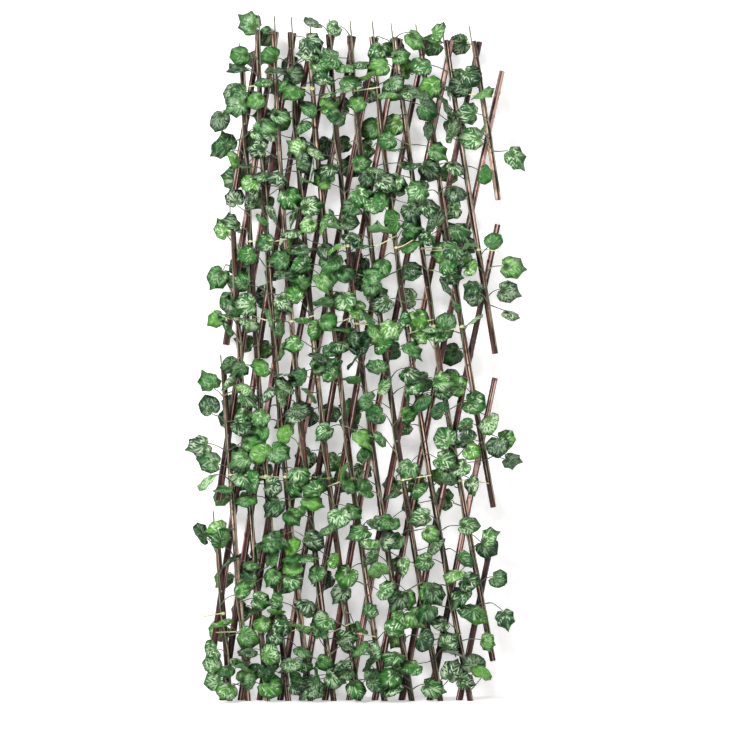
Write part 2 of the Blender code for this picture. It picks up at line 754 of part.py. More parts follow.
def make_ivy(sticks, material, tie_material):
    """An ivy garland for each front stick: a stem with a leaf on either side of each node, held by a tie."""
    fronts = list(range(FIRST_FRONT, LAST_FRONT + 1, 2))
    hard = list(sticks)
    stems = []
    stem_skins = []
    for number, front in enumerate(fronts):
        rng = random.Random(SEED + front)
        bm, openings = make_stem(front, rng)
        stems.append((bm, openings, rng))
        stem_skins.append(skin(bm))
        if number:
            hard.append(make_tie(front, number, tie_material))
    hard_skins = []
    for thing in hard:
        corners = [vert.co.copy() for vert in thing.data.vertices]
        hard_skins.append((corners, [tuple(face.vertices) for face in thing.data.polygons]))
    hard_skins += fastening_guards()
    placed = []
    count, behind_count = 0, 0
    bareness = random.Random(SEED)
    back_rng = random.Random(SEED)
    for number, (bm, openings, rng) in enumerate(stems):
        own_stem = gather([stem_skins[number]])
        solids = gather(hard_skins + stem_skins[:number] + stem_skins[number + 1 :])
        for side, quad in openings:
            root = quad[:3]
            spots = [vert.co.copy() for vert in root]
            found = None
            if not is_bare(bareness, spots[0].z):
                if back_rng.random() < BEHIND_SHARE:
                    found = place_leaf(back_rng, spots, side, own_stem, solids, placed, True)
                behind_count += found is not None
                if found is None:
                    found = place_leaf(rng, spots, side, own_stem, solids, placed, False)
            if found is None:
                bm.faces.new(root)
            else:
                add_leaf(bm, root, *found)
                count += 1
            bm.faces.new((quad[0], quad[2], quad[3]))
        bmesh.ops.triangulate(bm, faces=bm.faces)
        add_object(f"ivy_{number:02d}", bm, material)
    print(f"{count} leaves on {len(fronts)} stems, {behind_count} of them behind the sticks")


def main():
    clear_scene()
    materials = {name: make_material(name) for name in COLOURS}
    sticks = []
    for number, back in enumerate(range(FIRST_BACK, LAST_BACK + 1, 2)):
        sticks.append(make_back_stick(back, number, materials["back_stick"]))
    for number, front in enumerate(range(FIRST_FRONT, LAST_FRONT + 1, 2)):
        sticks.append(make_front_stick(front, number, materials["front_stick"]))
    sticks.append(make_pivot_pin(materials["pin"]))
    make_ivy(sticks, materials["ivy"], materials["tie"])


if __name__ == "__main__":
    main()
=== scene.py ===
"""The finished look of an expanding ivy screen: willow bark, variegated ivy, cable ties and nails.

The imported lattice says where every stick, nail, stem, leaf and tie is, and each finished piece is built on
it there. Metres, +Z up. The front faces -Y.
"""

import math
import random

import bmesh
import bpy
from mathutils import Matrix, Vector


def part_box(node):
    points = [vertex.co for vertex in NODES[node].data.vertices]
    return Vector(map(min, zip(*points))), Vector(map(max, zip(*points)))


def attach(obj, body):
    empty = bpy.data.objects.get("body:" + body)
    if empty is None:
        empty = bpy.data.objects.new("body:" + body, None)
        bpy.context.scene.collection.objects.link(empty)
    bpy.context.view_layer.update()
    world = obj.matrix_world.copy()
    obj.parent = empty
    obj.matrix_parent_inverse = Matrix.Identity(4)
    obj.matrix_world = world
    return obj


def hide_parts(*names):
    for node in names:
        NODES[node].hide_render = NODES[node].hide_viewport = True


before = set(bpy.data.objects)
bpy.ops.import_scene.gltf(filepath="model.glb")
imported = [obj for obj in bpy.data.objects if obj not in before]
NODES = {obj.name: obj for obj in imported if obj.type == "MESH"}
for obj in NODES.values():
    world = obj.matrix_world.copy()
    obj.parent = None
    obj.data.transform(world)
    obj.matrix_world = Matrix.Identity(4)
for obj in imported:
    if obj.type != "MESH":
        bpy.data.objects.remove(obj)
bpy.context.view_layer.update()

# The direction to the front
TO_FRONT = Vector((0.0, -1.0, 0.0))

# The photograph's framing
PHOTO_SIZE = 730
METRES_PER_PIXEL = 0.0017857
PIVOT_PIXEL = (329.9, 672.0)
VIEW_DISTANCE = 6.0

# Sticks
STICK_FACETS = 8
FLAT_TOLERANCE = 0.00002
STATION_GAP = 0.010
LAYER_GAP = 0.0003
STICK_SIDES = 18
STICK_STEP = 0.004
LINE_STEP = 0.030
FOOT_SPARE = 0.006
END_CHAMFER = 0.0006
KNOT_SPACING = 0.128
KNOT_LENGTH = 0.0055
KNOT_HEIGHT = 0.0007
LUMP_HEIGHT = 0.0007
RIDGE_HEIGHT = 0.0005
WANDER = 0.0011
SEED_STEP = 1.731
BACK_SEED_START = 0.4
FRONT_SEED_START = 60.0

# Where nearly all the values of a noise lie
NOISE_EDGES = (0.3, 0.7)

# Noise on the sticks: its scale, its stretch along the stick and the level that counts as flat
SWAY_SCALE = 9.0
LUMP_SCALE = 1.1
LUMP_STRETCH = 11.0
LUMP_LEVEL = 0.62
RIDGE_SCALE = 4.2
RIDGE_STRETCH = 6.0
RIDGE_LEVEL = 0.6
KNOT_JITTER_SCALE = 3.7
KNOT_TURN = 61.0
KNOT_PLACES = (0.2, 0.8)
KNOT_RING_SHARE = 0.35
KNOT_FACING = (0.1, 1.0)

# Bark
GRAIN_STRETCH = 0.016
BAND_SCALE = 210.0
STREAK_SCALE = 340.0
FIBRE_SCALE = 1100.0
SCUFF_SCALE = 95.0
BAND_EDGES = (0.52, 0.61)
STREAK_EDGES = (0.565, 0.605)
SCUFF_EDGES = (0.30, 0.50)
CRACK_EDGES = (0.36, 0.46)
CRACK_AMOUNT = 0.35
STREAK_BREAKUP_LEAST = 0.35
KNOT_SHADE = 0.45
KNOT_AMOUNT = 0.75
KNOT_EDGES = (0.15, 1.1)
BARK_ROUGHNESS = (0.24, 0.46)
FIBRE_SHARE = 0.35
BARK_RELIEF = 0.0009
# Each bark's pale colour is partly the bark's own pale streaks and partly a painted highlight along the
# stick.
BACK_BARK = {
    "dark": (0.022, 0.007, 0.005),
    "warm": (0.125, 0.030, 0.023),
    "pale": (0.76, 0.46, 0.40),
    "pale_amount": 0.88,
}
FRONT_BARK = {
    "dark": (0.020, 0.009, 0.005),
    "warm": (0.130, 0.043, 0.026),
    "pale": (0.76, 0.54, 0.42),
    "pale_amount": 0.86,
}
RING_WIDTH = 0.0007
RING_WAVER = 0.0016
CUT_RELIEF = 0.0004
CUT_DARK = (0.30, 0.17, 0.12)
CUT_PALE = (0.46, 0.30, 0.22)

# Vines
STEM_RING_GAP = 0.0012
STEM_STEP_LEAST = 0.005
STEM_THICKNESS = 0.0026
VINE_STEP = 0.0035
VINE_SIDES = 7
STALK_START = 0.0024
STALK_END = 0.0018
WIRE_THICKNESS = 0.0007
WIRE_LENGTH = (0.012, 0.034)
WIRE_LEAN_ACROSS = (-0.3, 0.3)
WIRE_LEAN_BACK = (-0.2, 0.1)
STALK_BOW = (-0.05, 0.22)
BEND_SHARE = 0.2
BASE_SHARE = 0.03
STEM_DEPTH = 0.0024
STEM_OLIVE = (0.085, 0.105, 0.050)
STEM_TAN = (0.250, 0.205, 0.140)
STALK_DARK = (0.070, 0.090, 0.058)
STALK_PALE = (0.290, 0.370, 0.190)
STEM_EDGES = (0.38, 0.62)
STALK_EDGES = (0.55, 0.75)
VINE_PATCH_SCALE = 38.0
VINE_GRAIN_SCALE = 900.0
VINE_RELIEF = 0.0003

# Leaves
LEAF_THICKNESS = 0.0006
LEAF_MEAN_WIDTH = 0.040
CORNER_MERGE = 0.000002
JUNCTION_SHARE = 0.13
LEAF_FULLNESS = 1.03
FLOOR_CLEARANCE = 0.0055
PRESSED_SHARE = 0.4
LEAF_MIDDLE_SHARE = 0.27
LEAF_RING_SHARE = 0.55
SINUS_SHARE = 0.27
TIP_SHARE = 0.56
RIM_JITTER_DEGREES = 3
RIM_JITTER_SHARE = (0.96, 1.03)
PUCKER_SHARE = 0.5
WAVE_COUNT = 3

# The places on a leaf, in shares of its width, that come nearest the floor
LEAF_REACHES = (
    (-0.52, 0.3),
    (0.52, 0.3),
    (-0.4, 0.65),
    (0.4, 0.65),
    (0.0, 0.95),
    (-0.3, -0.15),
    (0.3, -0.15),
)

# A leaf's rim as (degrees from the tip, share of the width from the middle, share that its lobes add). The
# stalk joins the leaf at the origin, below the middle.
RIM_SHARES = (
    (168, 0.405, 0.0),
    (150, 0.480, 0.5),
    (130, 0.500, -0.3),
    (108, 0.500, 1.0),
    (84, 0.480, -0.9),
    (58, 0.505, 1.1),
    (36, 0.475, -0.9),
    (17, 0.485, -0.5),
)

# The forms of leaf: how wide it is, how far its tip and lobes reach, how it bends, and where its wave starts
LEAF_TRAITS = ("side", "point", "lobe", "cup", "fold", "droop", "pucker", "wave", "turn")
LEAF_FORMS = (
    (1.00, -0.01, 0.004, 0.25, 0.04, 0.30, 0.10, 0.03, 0.4),
    (0.94, 0.09, 0.018, 0.05, 0.18, 0.25, 0.12, 0.05, 1.9),
    (1.05, -0.03, 0.006, 0.34, 0.00, 0.35, 0.08, 0.06, 3.1),
    (0.92, 0.05, 0.024, -0.12, 0.28, 0.12, 0.10, 0.03, 4.4),
    (0.98, 0.12, 0.030, 0.02, 0.10, 0.50, 0.14, 0.08, 5.5),
    (0.86, 0.04, 0.012, 0.50, 0.22, 0.20, 0.08, 0.12, 2.6),
    (1.02, 0.03, 0.020, 0.12, 0.06, -0.22, 0.12, 0.08, 0.9),
    (0.90, 0.01, 0.008, 0.16, 0.46, 0.30, 0.08, 0.04, 3.7),
)

# The print on the leaves
VEIN_ANGLE = math.radians(40)
LEAF_UV = (0.5, 0.25)
LEAF_DEEP = (0.006, 0.040, 0.017)
LEAF_MID = (0.028, 0.165, 0.024)
LEAF_FRESH = (0.120, 0.370, 0.036)
LEAF_PALE = (0.660, 0.830, 0.550)
LEAF_VEIN = (0.220, 0.430, 0.130)
LEAF_BACK = (0.120, 0.260, 0.100)
VEIN_WIDTHS = (0.026, 0.010)
VEIN_FADE = 0.7
VEIN_EDGES = (0.35, 1.0)
SIDE_VEIN_EDGES = (0.03, 0.10)
BARB_SLOPE = 1.15
SIDE_VEIN_COUNT = 9.0
STROKE_COUNT = 6.0
STROKE_WAVER = 0.7
STROKE_EDGES = (0.27, 0.35)
PRINT_EDGES = (-0.10, 0.02)
PRINT_START = (0.06, 0.20)
PRINT_END = (0.50, 0.80, 1.0, 0.2)
PRINT_LEVELS = (0.62, 0.51)
PALE_AMOUNTS = (0.30, 0.90)
PALE_TURNS = 7.3
PRINT_SPREAD = 57.0
DRIFT_SCALE = 4.0
PATCH_SCALE = 5.0
PATCH_AMOUNT = 0.9
RAY_COUNT = 8.0
RAY_LENGTH = 1.6
RAY_AMOUNT = 0.7
RAY_EDGES = (0.0, 0.05)
MID_EDGES = (0.05, 0.60)
FRESH_EDGES = (0.66, 1.05)
SIDE_VEIN_AMOUNT = 0.22
VEIN_AMOUNT = 0.55
LEAF_ROUGHNESS = (0.28, 0.44)
UNDERSIDE_ROUGHNESS = 0.25
LEAF_RELIEF = 0.0011
PATCH_RELIEF = 0.8
SIDE_VEIN_RELIEF = -0.45

# Nails
NAIL_RADIUS = 0.0021
NAIL_SIDES = 10
PIN_CLUSTER = 0.004
NAIL_RINGS = ((0.55, -0.6), (1.0, -0.05), (0.92, 0.22), (0.5, 0.38))
NAIL_GREY = (0.22, 0.19, 0.17)
NAIL_RUST = (0.09, 0.05, 0.035)
NAIL_RUST_EDGES = (0.42, 0.62)
NAIL_RUST_SCALE = 320.0
NAIL_ROUGHNESS = (0.32, 0.62)
NAIL_RELIEF = 0.0002

# Cable ties
TIE_WIDTH = 0.0021
TIE_THICKNESS = 0.0010
TIE_CLEARANCE = 0.0004
TIE_HEAD = (0.0042, 0.0042, 0.0030)
TIE_ROW_HEIGHTS = (0.13, 0.38, 0.67, 0.81, 1.09)
TIE_ROW_REACH = 0.055
TIE_APART = 0.03
TIE_SHARE = 0.62
TIE_ARC_STEPS = 6
TAIL_LENGTH = (0.030, 0.058)
TAIL_TILT = (-0.35, 0.45)
TAIL_CURL = (-0.2, 0.7)
TAIL_STEPS = 12
TAIL_EASE = 5
TAIL_TAPER = 0.8
STRAP_FLAT_SHARE = 0.8
HEAD_BEVEL_SHARE = 0.16
LOOP_DEGREES = (42, 0, -42, -90, -138, -180, -222)
LOOP_SHOULDER_SHARE = 0.3
HEAD_REACH_SHARE = 0.7
TIE_DARK = (0.52, 0.57, 0.25)
TIE_PALE = (0.72, 0.72, 0.44)
TIE_EDGES = (0.35, 0.65)
TIE_CLOUD_SCALE = 120.0
TIE_GRAIN_SCALE = 1400.0
TIE_RELIEF = 0.0002

# Stage
WALL_Y = 0.075
STAGE_HALF_WIDTH = 8.0
STAGE_DEPTH = 9.0
STAGE_HEIGHT = 6.0
STAGE_MIDDLE = (0.055, 0.0, 0.6)
STAGE_FADE = (0.9, 2.4)
STAGE_GLOW = 0.39
BOARD_COLOUR = (0.86, 0.85, 0.85, 1.0)

# Lights: each lamp's place, its sides and its power
KEY_LIGHT = ((-1.5, -2.6, 2.0), (0.7, 0.8), 109.0)
FILL_LIGHT = ((1.9, -2.4, 1.0), (1.0, 1.4), 26.0)
WORLD_LIGHT = 0.28

# The random draws of each stick's ivy and ties
SEED = 5
TIE_SEED = 70

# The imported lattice
CORNER_DIGITS = 5
BACK_NAMES = sorted(name for name in NODES if name.startswith("back_stick"))
FRONT_NAMES = sorted(name for name in NODES if name.startswith("front_stick"))
BACK_OUTER_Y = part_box(BACK_NAMES[0])[1].y
BACK_INNER_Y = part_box(BACK_NAMES[0])[0].y
FRONT_OUTER_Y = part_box(FRONT_NAMES[0])[0].y
FRONT_INNER_Y = BACK_INNER_Y - LAYER_GAP
PIN_TIP_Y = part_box(FRONT_NAMES[0])[1].y


# Node trees


def add(tree, kind, inputs=None, **settings):
    """A node with its settings, and its inputs by name or number: a socket is linked, a value is set."""
    node = tree.nodes.new(kind)
    for name, value in settings.items():
        setattr(node, name, value)
    for key, value in (inputs or {}).items():
        if isinstance(value, bpy.types.NodeSocket):
            tree.links.new(value, node.inputs[key])
        else:
            node.inputs[key].default_value = value
    return node


def out_of(tree, kind, inputs=None, **settings):
    """The first output of a new node."""
    return add(tree, kind, inputs, **settings).outputs[0]


def maths(tree, operation, *values):
    return out_of(tree, "ShaderNodeMath", dict(enumerate(values)), operation=operation)


def times(tree, value, factor):
    return maths(tree, "MULTIPLY", value, factor)


def vector_maths(tree, operation, *values):
    return out_of(tree, "ShaderNodeVectorMath", dict(enumerate(values)), operation=operation)


def scaled(tree, vector, factor):
    return out_of(tree, "ShaderNodeVectorMath", {0: vector, 3: factor}, operation="SCALE")


def measured(tree, operation, first, second):
    """A number from two vectors."""
    node = add(tree, "ShaderNodeVectorMath", {0: first, 1: second}, operation=operation)
    return node.outputs["Value"]


def separated(tree, vector):
    return add(tree, "ShaderNodeSeparateXYZ", {0: vector}).outputs


def combined(tree, x, y, z):
    return out_of(tree, "ShaderNodeCombineXYZ", {0: x, 1: y, 2: z})


def ramp(tree, value, low, high, start=0.0, end=1.0):
    """A smooth step of a value from start at low to end at high."""
    inputs = {"Value": value, "From Min": low, "From Max": high, "To Min": start, "To Max": end}
    return out_of(tree, "ShaderNodeMapRange", inputs, interpolation_type="SMOOTHSTEP")


def noise(tree, vector, scale, detail=2.0, roughness=0.5):
    inputs = {"Vector": vector, "Scale": scale, "Detail": detail, "Roughness": roughness}
    return out_of(tree, "ShaderNodeTexNoise", inputs)


def distance_out(tree, x, y):
    """How far a place is from the middle."""
    squares = [times(tree, side, side) for side in (x, y)]
    return maths(tree, "SQRT", maths(tree, "ADD", *squares))


def tinted(tree, factor, first, second):
    """A colour that goes from the first to the second."""
    first, second = (
        colour if isinstance(colour, bpy.types.NodeSocket) else (*colour, 1.0) for colour in (first, second)
    )
    return add(tree, "ShaderNodeMix", {0: factor, 6: first, 7: second}, data_type="RGBA").outputs[2]


def new_tree(name, kind, inputs, outputs):
    """An empty tree and its end sockets, from inputs as {name: (type, value)} and outputs as {name: type}."""
    tree = bpy.data.node_groups.new(name, kind)
    for label, (what, value) in inputs.items():
        socket = tree.interface.new_socket(label, in_out="INPUT", socket_type="NodeSocket" + what)
        if value is not None:
            socket.default_value = value
    for label, what in outputs.items():
        tree.interface.new_socket(label, in_out="OUTPUT", socket_type="NodeSocket" + what)
    return tree, tree.nodes.new("NodeGroupInput").outputs, tree.nodes.new("NodeGroupOutput").inputs


def attribute(tree, name, data_type="FLOAT"):
    return out_of(tree, "GeometryNodeInputNamedAttribute", {"Name": name}, data_type=data_type)


def stored(tree, geometry, name, value, data_type="FLOAT"):
    inputs = {"Geometry": geometry, "Name": name, "Value": value}
    return out_of(tree, "GeometryNodeStoreNamedAttribute", inputs, data_type=data_type, domain="POINT")


def finished(tree, geometry, material, output):
    """Ends a tree: real geometry, shaded smooth, with its material."""
    real = out_of(tree, "GeometryNodeRealizeInstances", {"Geometry": geometry})
    smooth = out_of(tree, "GeometryNodeSetShadeSmooth", {"Geometry": real})
    dressed = out_of(tree, "GeometryNodeSetMaterial", {"Geometry": smooth, "Material": material})
    tree.links.new(dressed, output)


# Geometry trees


def tube_start(tree, inputs, step):
    """A smooth curve through a chain of points, with even steps."""
    curve = out_of(tree, "GeometryNodeMeshToCurve", {"Mesh": inputs["Geometry"]})
    curve = out_of(tree, "GeometryNodeCurveSplineType", {"Curve": curve}, spline_type="CATMULL_ROM")
    curve = out_of(tree, "GeometryNodeResampleCurve", {"Curve": curve, "Length": step}, mode="LENGTH")
    return out_of(tree, "GeometryNodeSetCurveRadius", {"Curve": curve, "Radius": 1.0})


def circle(tree, sides, radius):
    inputs = {"Resolution": sides, "Radius": radius}
    return out_of(tree, "GeometryNodeCurvePrimitiveCircle", inputs)


def stick_tree():
    """A willow stick along a chain of points, with lumps, long ridges and knots that the bark follows."""
    tree, inputs, outputs = new_tree(
        "willow_stick",
        "GeometryNodeTree",
        {
            "Geometry": ("Geometry", None),
            "Step": ("Float", STICK_STEP),
            "Sides": ("Int", STICK_SIDES),
            "Depth": ("Float", 0.0),
            "Wander": ("Float", WANDER),
            "Lump height": ("Float", LUMP_HEIGHT),
            "Ridge height": ("Float", RIDGE_HEIGHT),
            "Knot spacing": ("Float", KNOT_SPACING),
            "Knot length": ("Float", KNOT_LENGTH),
            "Knot height": ("Float", KNOT_HEIGHT),
            "Seed": ("Float", 0.0),
            "Bark": ("Material", None),
        },
        {"Geometry": "Geometry"},
    )
    curve = tube_start(tree, inputs, inputs["Step"])
    along = add(tree, "GeometryNodeSplineParameter").outputs["Length"]
    place = maths(tree, "ADD", along, inputs["Seed"])
    sway = noise(tree, combined(tree, inputs["Seed"], 0.0, place), SWAY_SCALE, detail=1.0)
    sway = times(tree, maths(tree, "SUBTRACT", sway, 0.5), inputs["Wander"])
    aside = combined(tree, sway, 0.0, 0.0)
    curve = out_of(tree, "GeometryNodeSetPosition", {"Geometry": curve, "Offset": aside})
    curve = stored(tree, curve, "along", place)
    position = out_of(tree, "GeometryNodeInputPosition")
    curve = stored(tree, curve, "centre", position, "FLOAT_VECTOR")
    profile = circle(tree, inputs["Sides"], 1.0)
    profile = stored(tree, profile, "round", position, "FLOAT_VECTOR")
    half_width = attribute(tree, "half_width")
    tube = {"Curve": curve, "Profile Curve": profile, "Scale": half_width, "Fill Caps": True}
    mesh = out_of(tree, "GeometryNodeCurveToMesh", tube)

    around = attribute(tree, "round", "FLOAT_VECTOR")
    x, y, _ = separated(tree, around)
    length = attribute(tree, "along")
    lump_place = combined(tree, x, y, times(tree, length, LUMP_STRETCH))
    lumps = noise(tree, lump_place, LUMP_SCALE, detail=1.0)
    ridge_place = combined(tree, x, y, times(tree, length, RIDGE_STRETCH))
    ridges = noise(tree, ridge_place, RIDGE_SCALE)
    spaced = maths(tree, "DIVIDE", length, inputs["Knot spacing"])
    knot_number = combined(tree, maths(tree, "FLOOR", spaced), 0.5, 0.5)
    jitter = noise(tree, knot_number, KNOT_JITTER_SCALE, detail=0.0)
    knot_place = ramp(tree, jitter, *NOISE_EDGES, *KNOT_PLACES)
    from_knot = maths(tree, "SUBTRACT", maths(tree, "FRACT", spaced), knot_place)
    from_knot = times(tree, maths(tree, "ABSOLUTE", from_knot), inputs["Knot spacing"])
    turn = times(tree, jitter, KNOT_TURN)
    knot_side = combined(tree, maths(tree, "COSINE", turn), maths(tree, "SINE", turn), 0.0)
    facing_knot = measured(tree, "DOT_PRODUCT", around, knot_side)
    knot = ramp(tree, from_knot, 0.0, inputs["Knot length"], 1.0, 0.0)
    bud = times(tree, knot, ramp(tree, facing_knot, *KNOT_FACING))
    knot_rise = maths(tree, "ADD", times(tree, knot, KNOT_RING_SHARE), bud)
    rise = times(tree, maths(tree, "SUBTRACT", lumps, LUMP_LEVEL), inputs["Lump height"])
    ridge = maths(tree, "SUBTRACT", ridges, RIDGE_LEVEL)
    rise = maths(tree, "MULTIPLY_ADD", ridge, inputs["Ridge height"], rise)
    rise = maths(tree, "MULTIPLY_ADD", knot_rise, inputs["Knot height"], rise)
    mesh = stored(tree, mesh, "knot", knot_rise)
    bark_x, bark_y = (times(tree, side, half_width) for side in (x, y))
    mesh = stored(tree, mesh, "bark_place", combined(tree, bark_x, bark_y, length), "FLOAT_VECTOR")

    centre = attribute(tree, "centre", "FLOAT_VECTOR")
    offset = vector_maths(tree, "SUBTRACT", position, centre)
    swelling = maths(tree, "ADD", maths(tree, "DIVIDE", rise, half_width), 1.0)
    offset = scaled(tree, offset, swelling)
    depth_share = maths(tree, "DIVIDE", times(tree, inputs["Depth"], 0.5), half_width)
    offset = vector_maths(tree, "MULTIPLY", offset, combined(tree, 1.0, depth_share, 1.0))
    placed = vector_maths(tree, "ADD", centre, offset)
    mesh = out_of(tree, "GeometryNodeSetPosition", {"Geometry": mesh, "Position": placed})
    finished(tree, mesh, inputs["Bark"], outputs["Geometry"])
    return tree


def vine_tree():
    """Stems, leaf stalks or wires along chains of points, each as thick as its points say."""
    tree, inputs, outputs = new_tree(
        "vine",
        "GeometryNodeTree",
        {
            "Geometry": ("Geometry", None),
            "Step": ("Float", VINE_STEP),
            "Sides": ("Int", VINE_SIDES),
            "Skin": ("Material", None),
        },
        {"Geometry": "Geometry"},
    )
    curve = tube_start(tree, inputs, inputs["Step"])
    curve = stored(tree, curve, "along", add(tree, "GeometryNodeSplineParameter").outputs["Length"])
    profile = circle(tree, inputs["Sides"], 0.5)
    thickness = attribute(tree, "thickness")
    tube = {"Curve": curve, "Profile Curve": profile, "Scale": thickness, "Fill Caps": True}
    mesh = out_of(tree, "GeometryNodeCurveToMesh", tube)
    finished(tree, mesh, inputs["Skin"], outputs["Geometry"])
    return tree


def scatter_tree(name):
    """Puts one of several forms on each point, with its +Z and +Y turned to the point's two directions."""
    tree, inputs, outputs = new_tree(
        name,
        "GeometryNodeTree",
        {"Geometry": ("Geometry", None), "Forms": ("Collection", None), "Finish": ("Material", None)},
        {"Geometry": "Geometry"},
    )
    forms = out_of(
        tree,
        "GeometryNodeCollectionInfo",
        {"Collection": inputs["Forms"], "Separate Children": True, "Reset Children": True},
    )
    turn = out_of(
        tree,
        "FunctionNodeAxesToRotation",
        {
            "Primary Axis": attribute(tree, "facing", "FLOAT_VECTOR"),
            "Secondary Axis": attribute(tree, "pointing", "FLOAT_VECTOR"),
        },
        primary_axis="Z",
        secondary_axis="Y",
    )
    points = out_of(tree, "GeometryNodeMeshToPoints", {"Mesh": inputs["Geometry"]})
    placed = out_of(
        tree,
        "GeometryNodeInstanceOnPoints",
        {
            "Points": points,
            "Instance": forms,
            "Pick Instance": True,
            "Instance Index": attribute(tree, "form", "INT"),
            "Rotation": turn,
            "Scale": attribute(tree, "size", "FLOAT_VECTOR"),
        },
    )
    finished(tree, placed, inputs["Finish"], outputs["Geometry"])
    return tree


def socket_id(tree, label):
    items = tree.interface.items_tree
    return next(item.identifier for item in items if item.name == label and item.in_out == "INPUT")


def show(name, data):
    """An object in the scene with this data."""
    thing = bpy.data.objects.new(name, data)
    bpy.context.scene.collection.objects.link(thing)
    return thing


def mesh_from(name, bm):
    mesh = bpy.data.meshes.new(name)
    bm.to_mesh(mesh)
    bm.free()
    return mesh


def skin(bm, rings, smooth):
    """A solid from a row of rings of corners, closed at both ends."""
    for low, high in zip(rings, rings[1:]):
        for k in range(len(low)):
            m = (k + 1) % len(low)
            bm.faces.new((low[k], low[m], high[m], high[k])).smooth = smooth
    bm.faces.new(rings[0][::-1])
    bm.faces.new(rings[-1])


def grown(name, chains, tree, values, attributes):
    """A plain mesh made by a geometry tree from chains of points.

    Attributes are {name: (data type, one value for each point)}.
    """
    mesh = bpy.data.meshes.new(name)
    points, edges = [], []
    for chain in chains:
        start = len(points)
        points += [tuple(point) for point in chain]
        edges += [(start + k, start + k + 1) for k in range(len(chain) - 1)]
    mesh.from_pydata(points, edges, [])
    for label, (data_type, data) in attributes.items():
        layer = mesh.attributes.new(label, data_type, "POINT")
        if data_type == "FLOAT_VECTOR":
            layer.data.foreach_set("vector", [number for vector in data for number in vector])
        else:
            layer.data.foreach_set("value", data)
    source = show(name, mesh)
    modifier = source.modifiers.new("Grow", "NODES")
    modifier.node_group = tree
    for label, value in values.items():
        modifier[socket_id(tree, label)] = value
    bpy.context.view_layer.update()
    evaluated = source.evaluated_get(bpy.context.evaluated_depsgraph_get())
    result = bpy.data.meshes.new_from_object(evaluated)
    result.name = name
    bpy.data.objects.remove(source)
    bpy.data.meshes.remove(mesh)
    return show(name, result)


# Reading the lattice


def corners_at(node, y):
    """The (x, z) corners of a CAD node in the plane at this depth, from the floor up."""
    found = set()
    for vert in NODES[node].data.vertices:
        if abs(vert.co.y - y) < FLAT_TOLERANCE:
            found.add((round(vert.co.x, CORNER_DIGITS), round(vert.co.z, CORNER_DIGITS)))
    return sorted(found, key=lambda spot: spot[1])


def by_height(spots, gap):
    """Spots sorted by height, split wherever they are further apart than the gap."""
    rows = []
    for spot in spots:
        if not rows or spot[1] - rows[-1][-1][1] > gap:
            rows.append([])
        rows[-1].append(spot)
    return rows


def stick_line(node, outer_y):
    """A stick's centre line as (x, z) points and its width at each, read from its outer flat."""
    line, widths = [], []
    for row in by_height(corners_at(node, outer_y), STATION_GAP):
        left, right = Vector(min(row)), Vector(max(row))
        line.append((left + right) / 2)
        widths.append((right - left).length / math.tan(math.pi / STICK_FACETS))
    return line, widths


def stem_line(node, stem_back_y):
    """The middle of a stem's back as (x, z) points, from the floor up."""
    line = []
    for row in by_height(corners_at(node, stem_back_y), STEM_RING_GAP):
        if len(row) == 2:
            line.append((Vector(row[0]) + Vector(row[1])) / 2)
    return line


def pin_spots(node):
    """The (x, z) middle of each pin that a front stick carries."""
    groups = []
    for spot in corners_at(node, PIN_TIP_Y):
        near = [group for group in groups if (Vector(group[0]) - Vector(spot)).length < PIN_CLUSTER]
        if near:
            near[0].append(spot)
        else:
            groups.append([spot])
    return [sum((Vector(spot) for spot in group), Vector((0.0, 0.0))) / len(group) for group in groups]


def read_leaves(node):
    """Each leaf of a CAD garland as (points along its stalk from the stem, tip, facing, width)."""
    bm = bmesh.new()
    bm.from_mesh(NODES[node].data)
    bmesh.ops.remove_doubles(bm, verts=bm.verts, dist=CORNER_MERGE)
    low_y = STEM_RIDGE_Y - FLAT_TOLERANCE
    high_y = STEM_BACK_Y + FLAT_TOLERANCE
    leaves = []
    for tip in bm.verts:
        if len(tip.link_edges) != 3:
            continue
        widest = [edge.other_vert(tip) for edge in tip.link_edges]
        if all(low_y < vert.co.y < high_y for vert in [tip, *widest]):
            continue
        base = neighbours(widest) - {tip}
        if len(base) != 3:
            continue
        stalk = [set(widest), base, neighbours(base) - set(widest)]
        if centre_of(base).y > 0:
            stalk.append(neighbours(stalk[-1]) - base)
        keel = min(widest, key=lambda vert: (vert.co - centre_of(set(widest) - {vert})).length)
        left, right = (vert.co for vert in widest if vert is not keel)
        middle = (left + right) / 2
        points = [centre_of(ring) for ring in reversed(stalk[1:])]
        leaves.append((points, tip.co.copy(), (middle - keel.co).normalized(), (left - right).length))
    bm.free()
    return sorted(leaves, key=lambda leaf: leaf[0][0].z)


def neighbours(verts):
    around = {edge.other_vert(vert) for vert in verts for edge in vert.link_edges}
    return around - set(verts)


def centre_of(verts):
    return sum((vert.co for vert in verts), Vector()) / len(verts)


def stem_back():
    """The depth of the stems' backs, which more corners of a garland share than any other depth."""
    depths = [round(vert.co.y, CORNER_DIGITS) for vert in NODES["ivy_00"].data.vertices]
    return max(sorted(set(depths)), key=depths.count)


STEM_BACK_Y = stem_back()
STEM_RIDGE_Y = STEM_BACK_Y - STEM_DEPTH


# Materials


def new_material(name, **values):
    """A material with its Principled shader's plain values set, its tree and that shader."""
    material = bpy.data.materials.new(name)
    material.use_nodes = True
    shader = material.node_tree.nodes["Principled BSDF"]
    for label, value in values.items():
        shader.inputs[label.replace("_", " ")].default_value = value
    return material, material.node_tree, shader


def surface_attribute(tree, name, output="Fac"):
    return add(tree, "ShaderNodeAttribute", attribute_name=name).outputs[output]


def object_place(tree):
    return add(tree, "ShaderNodeTexCoord").outputs["Object"]


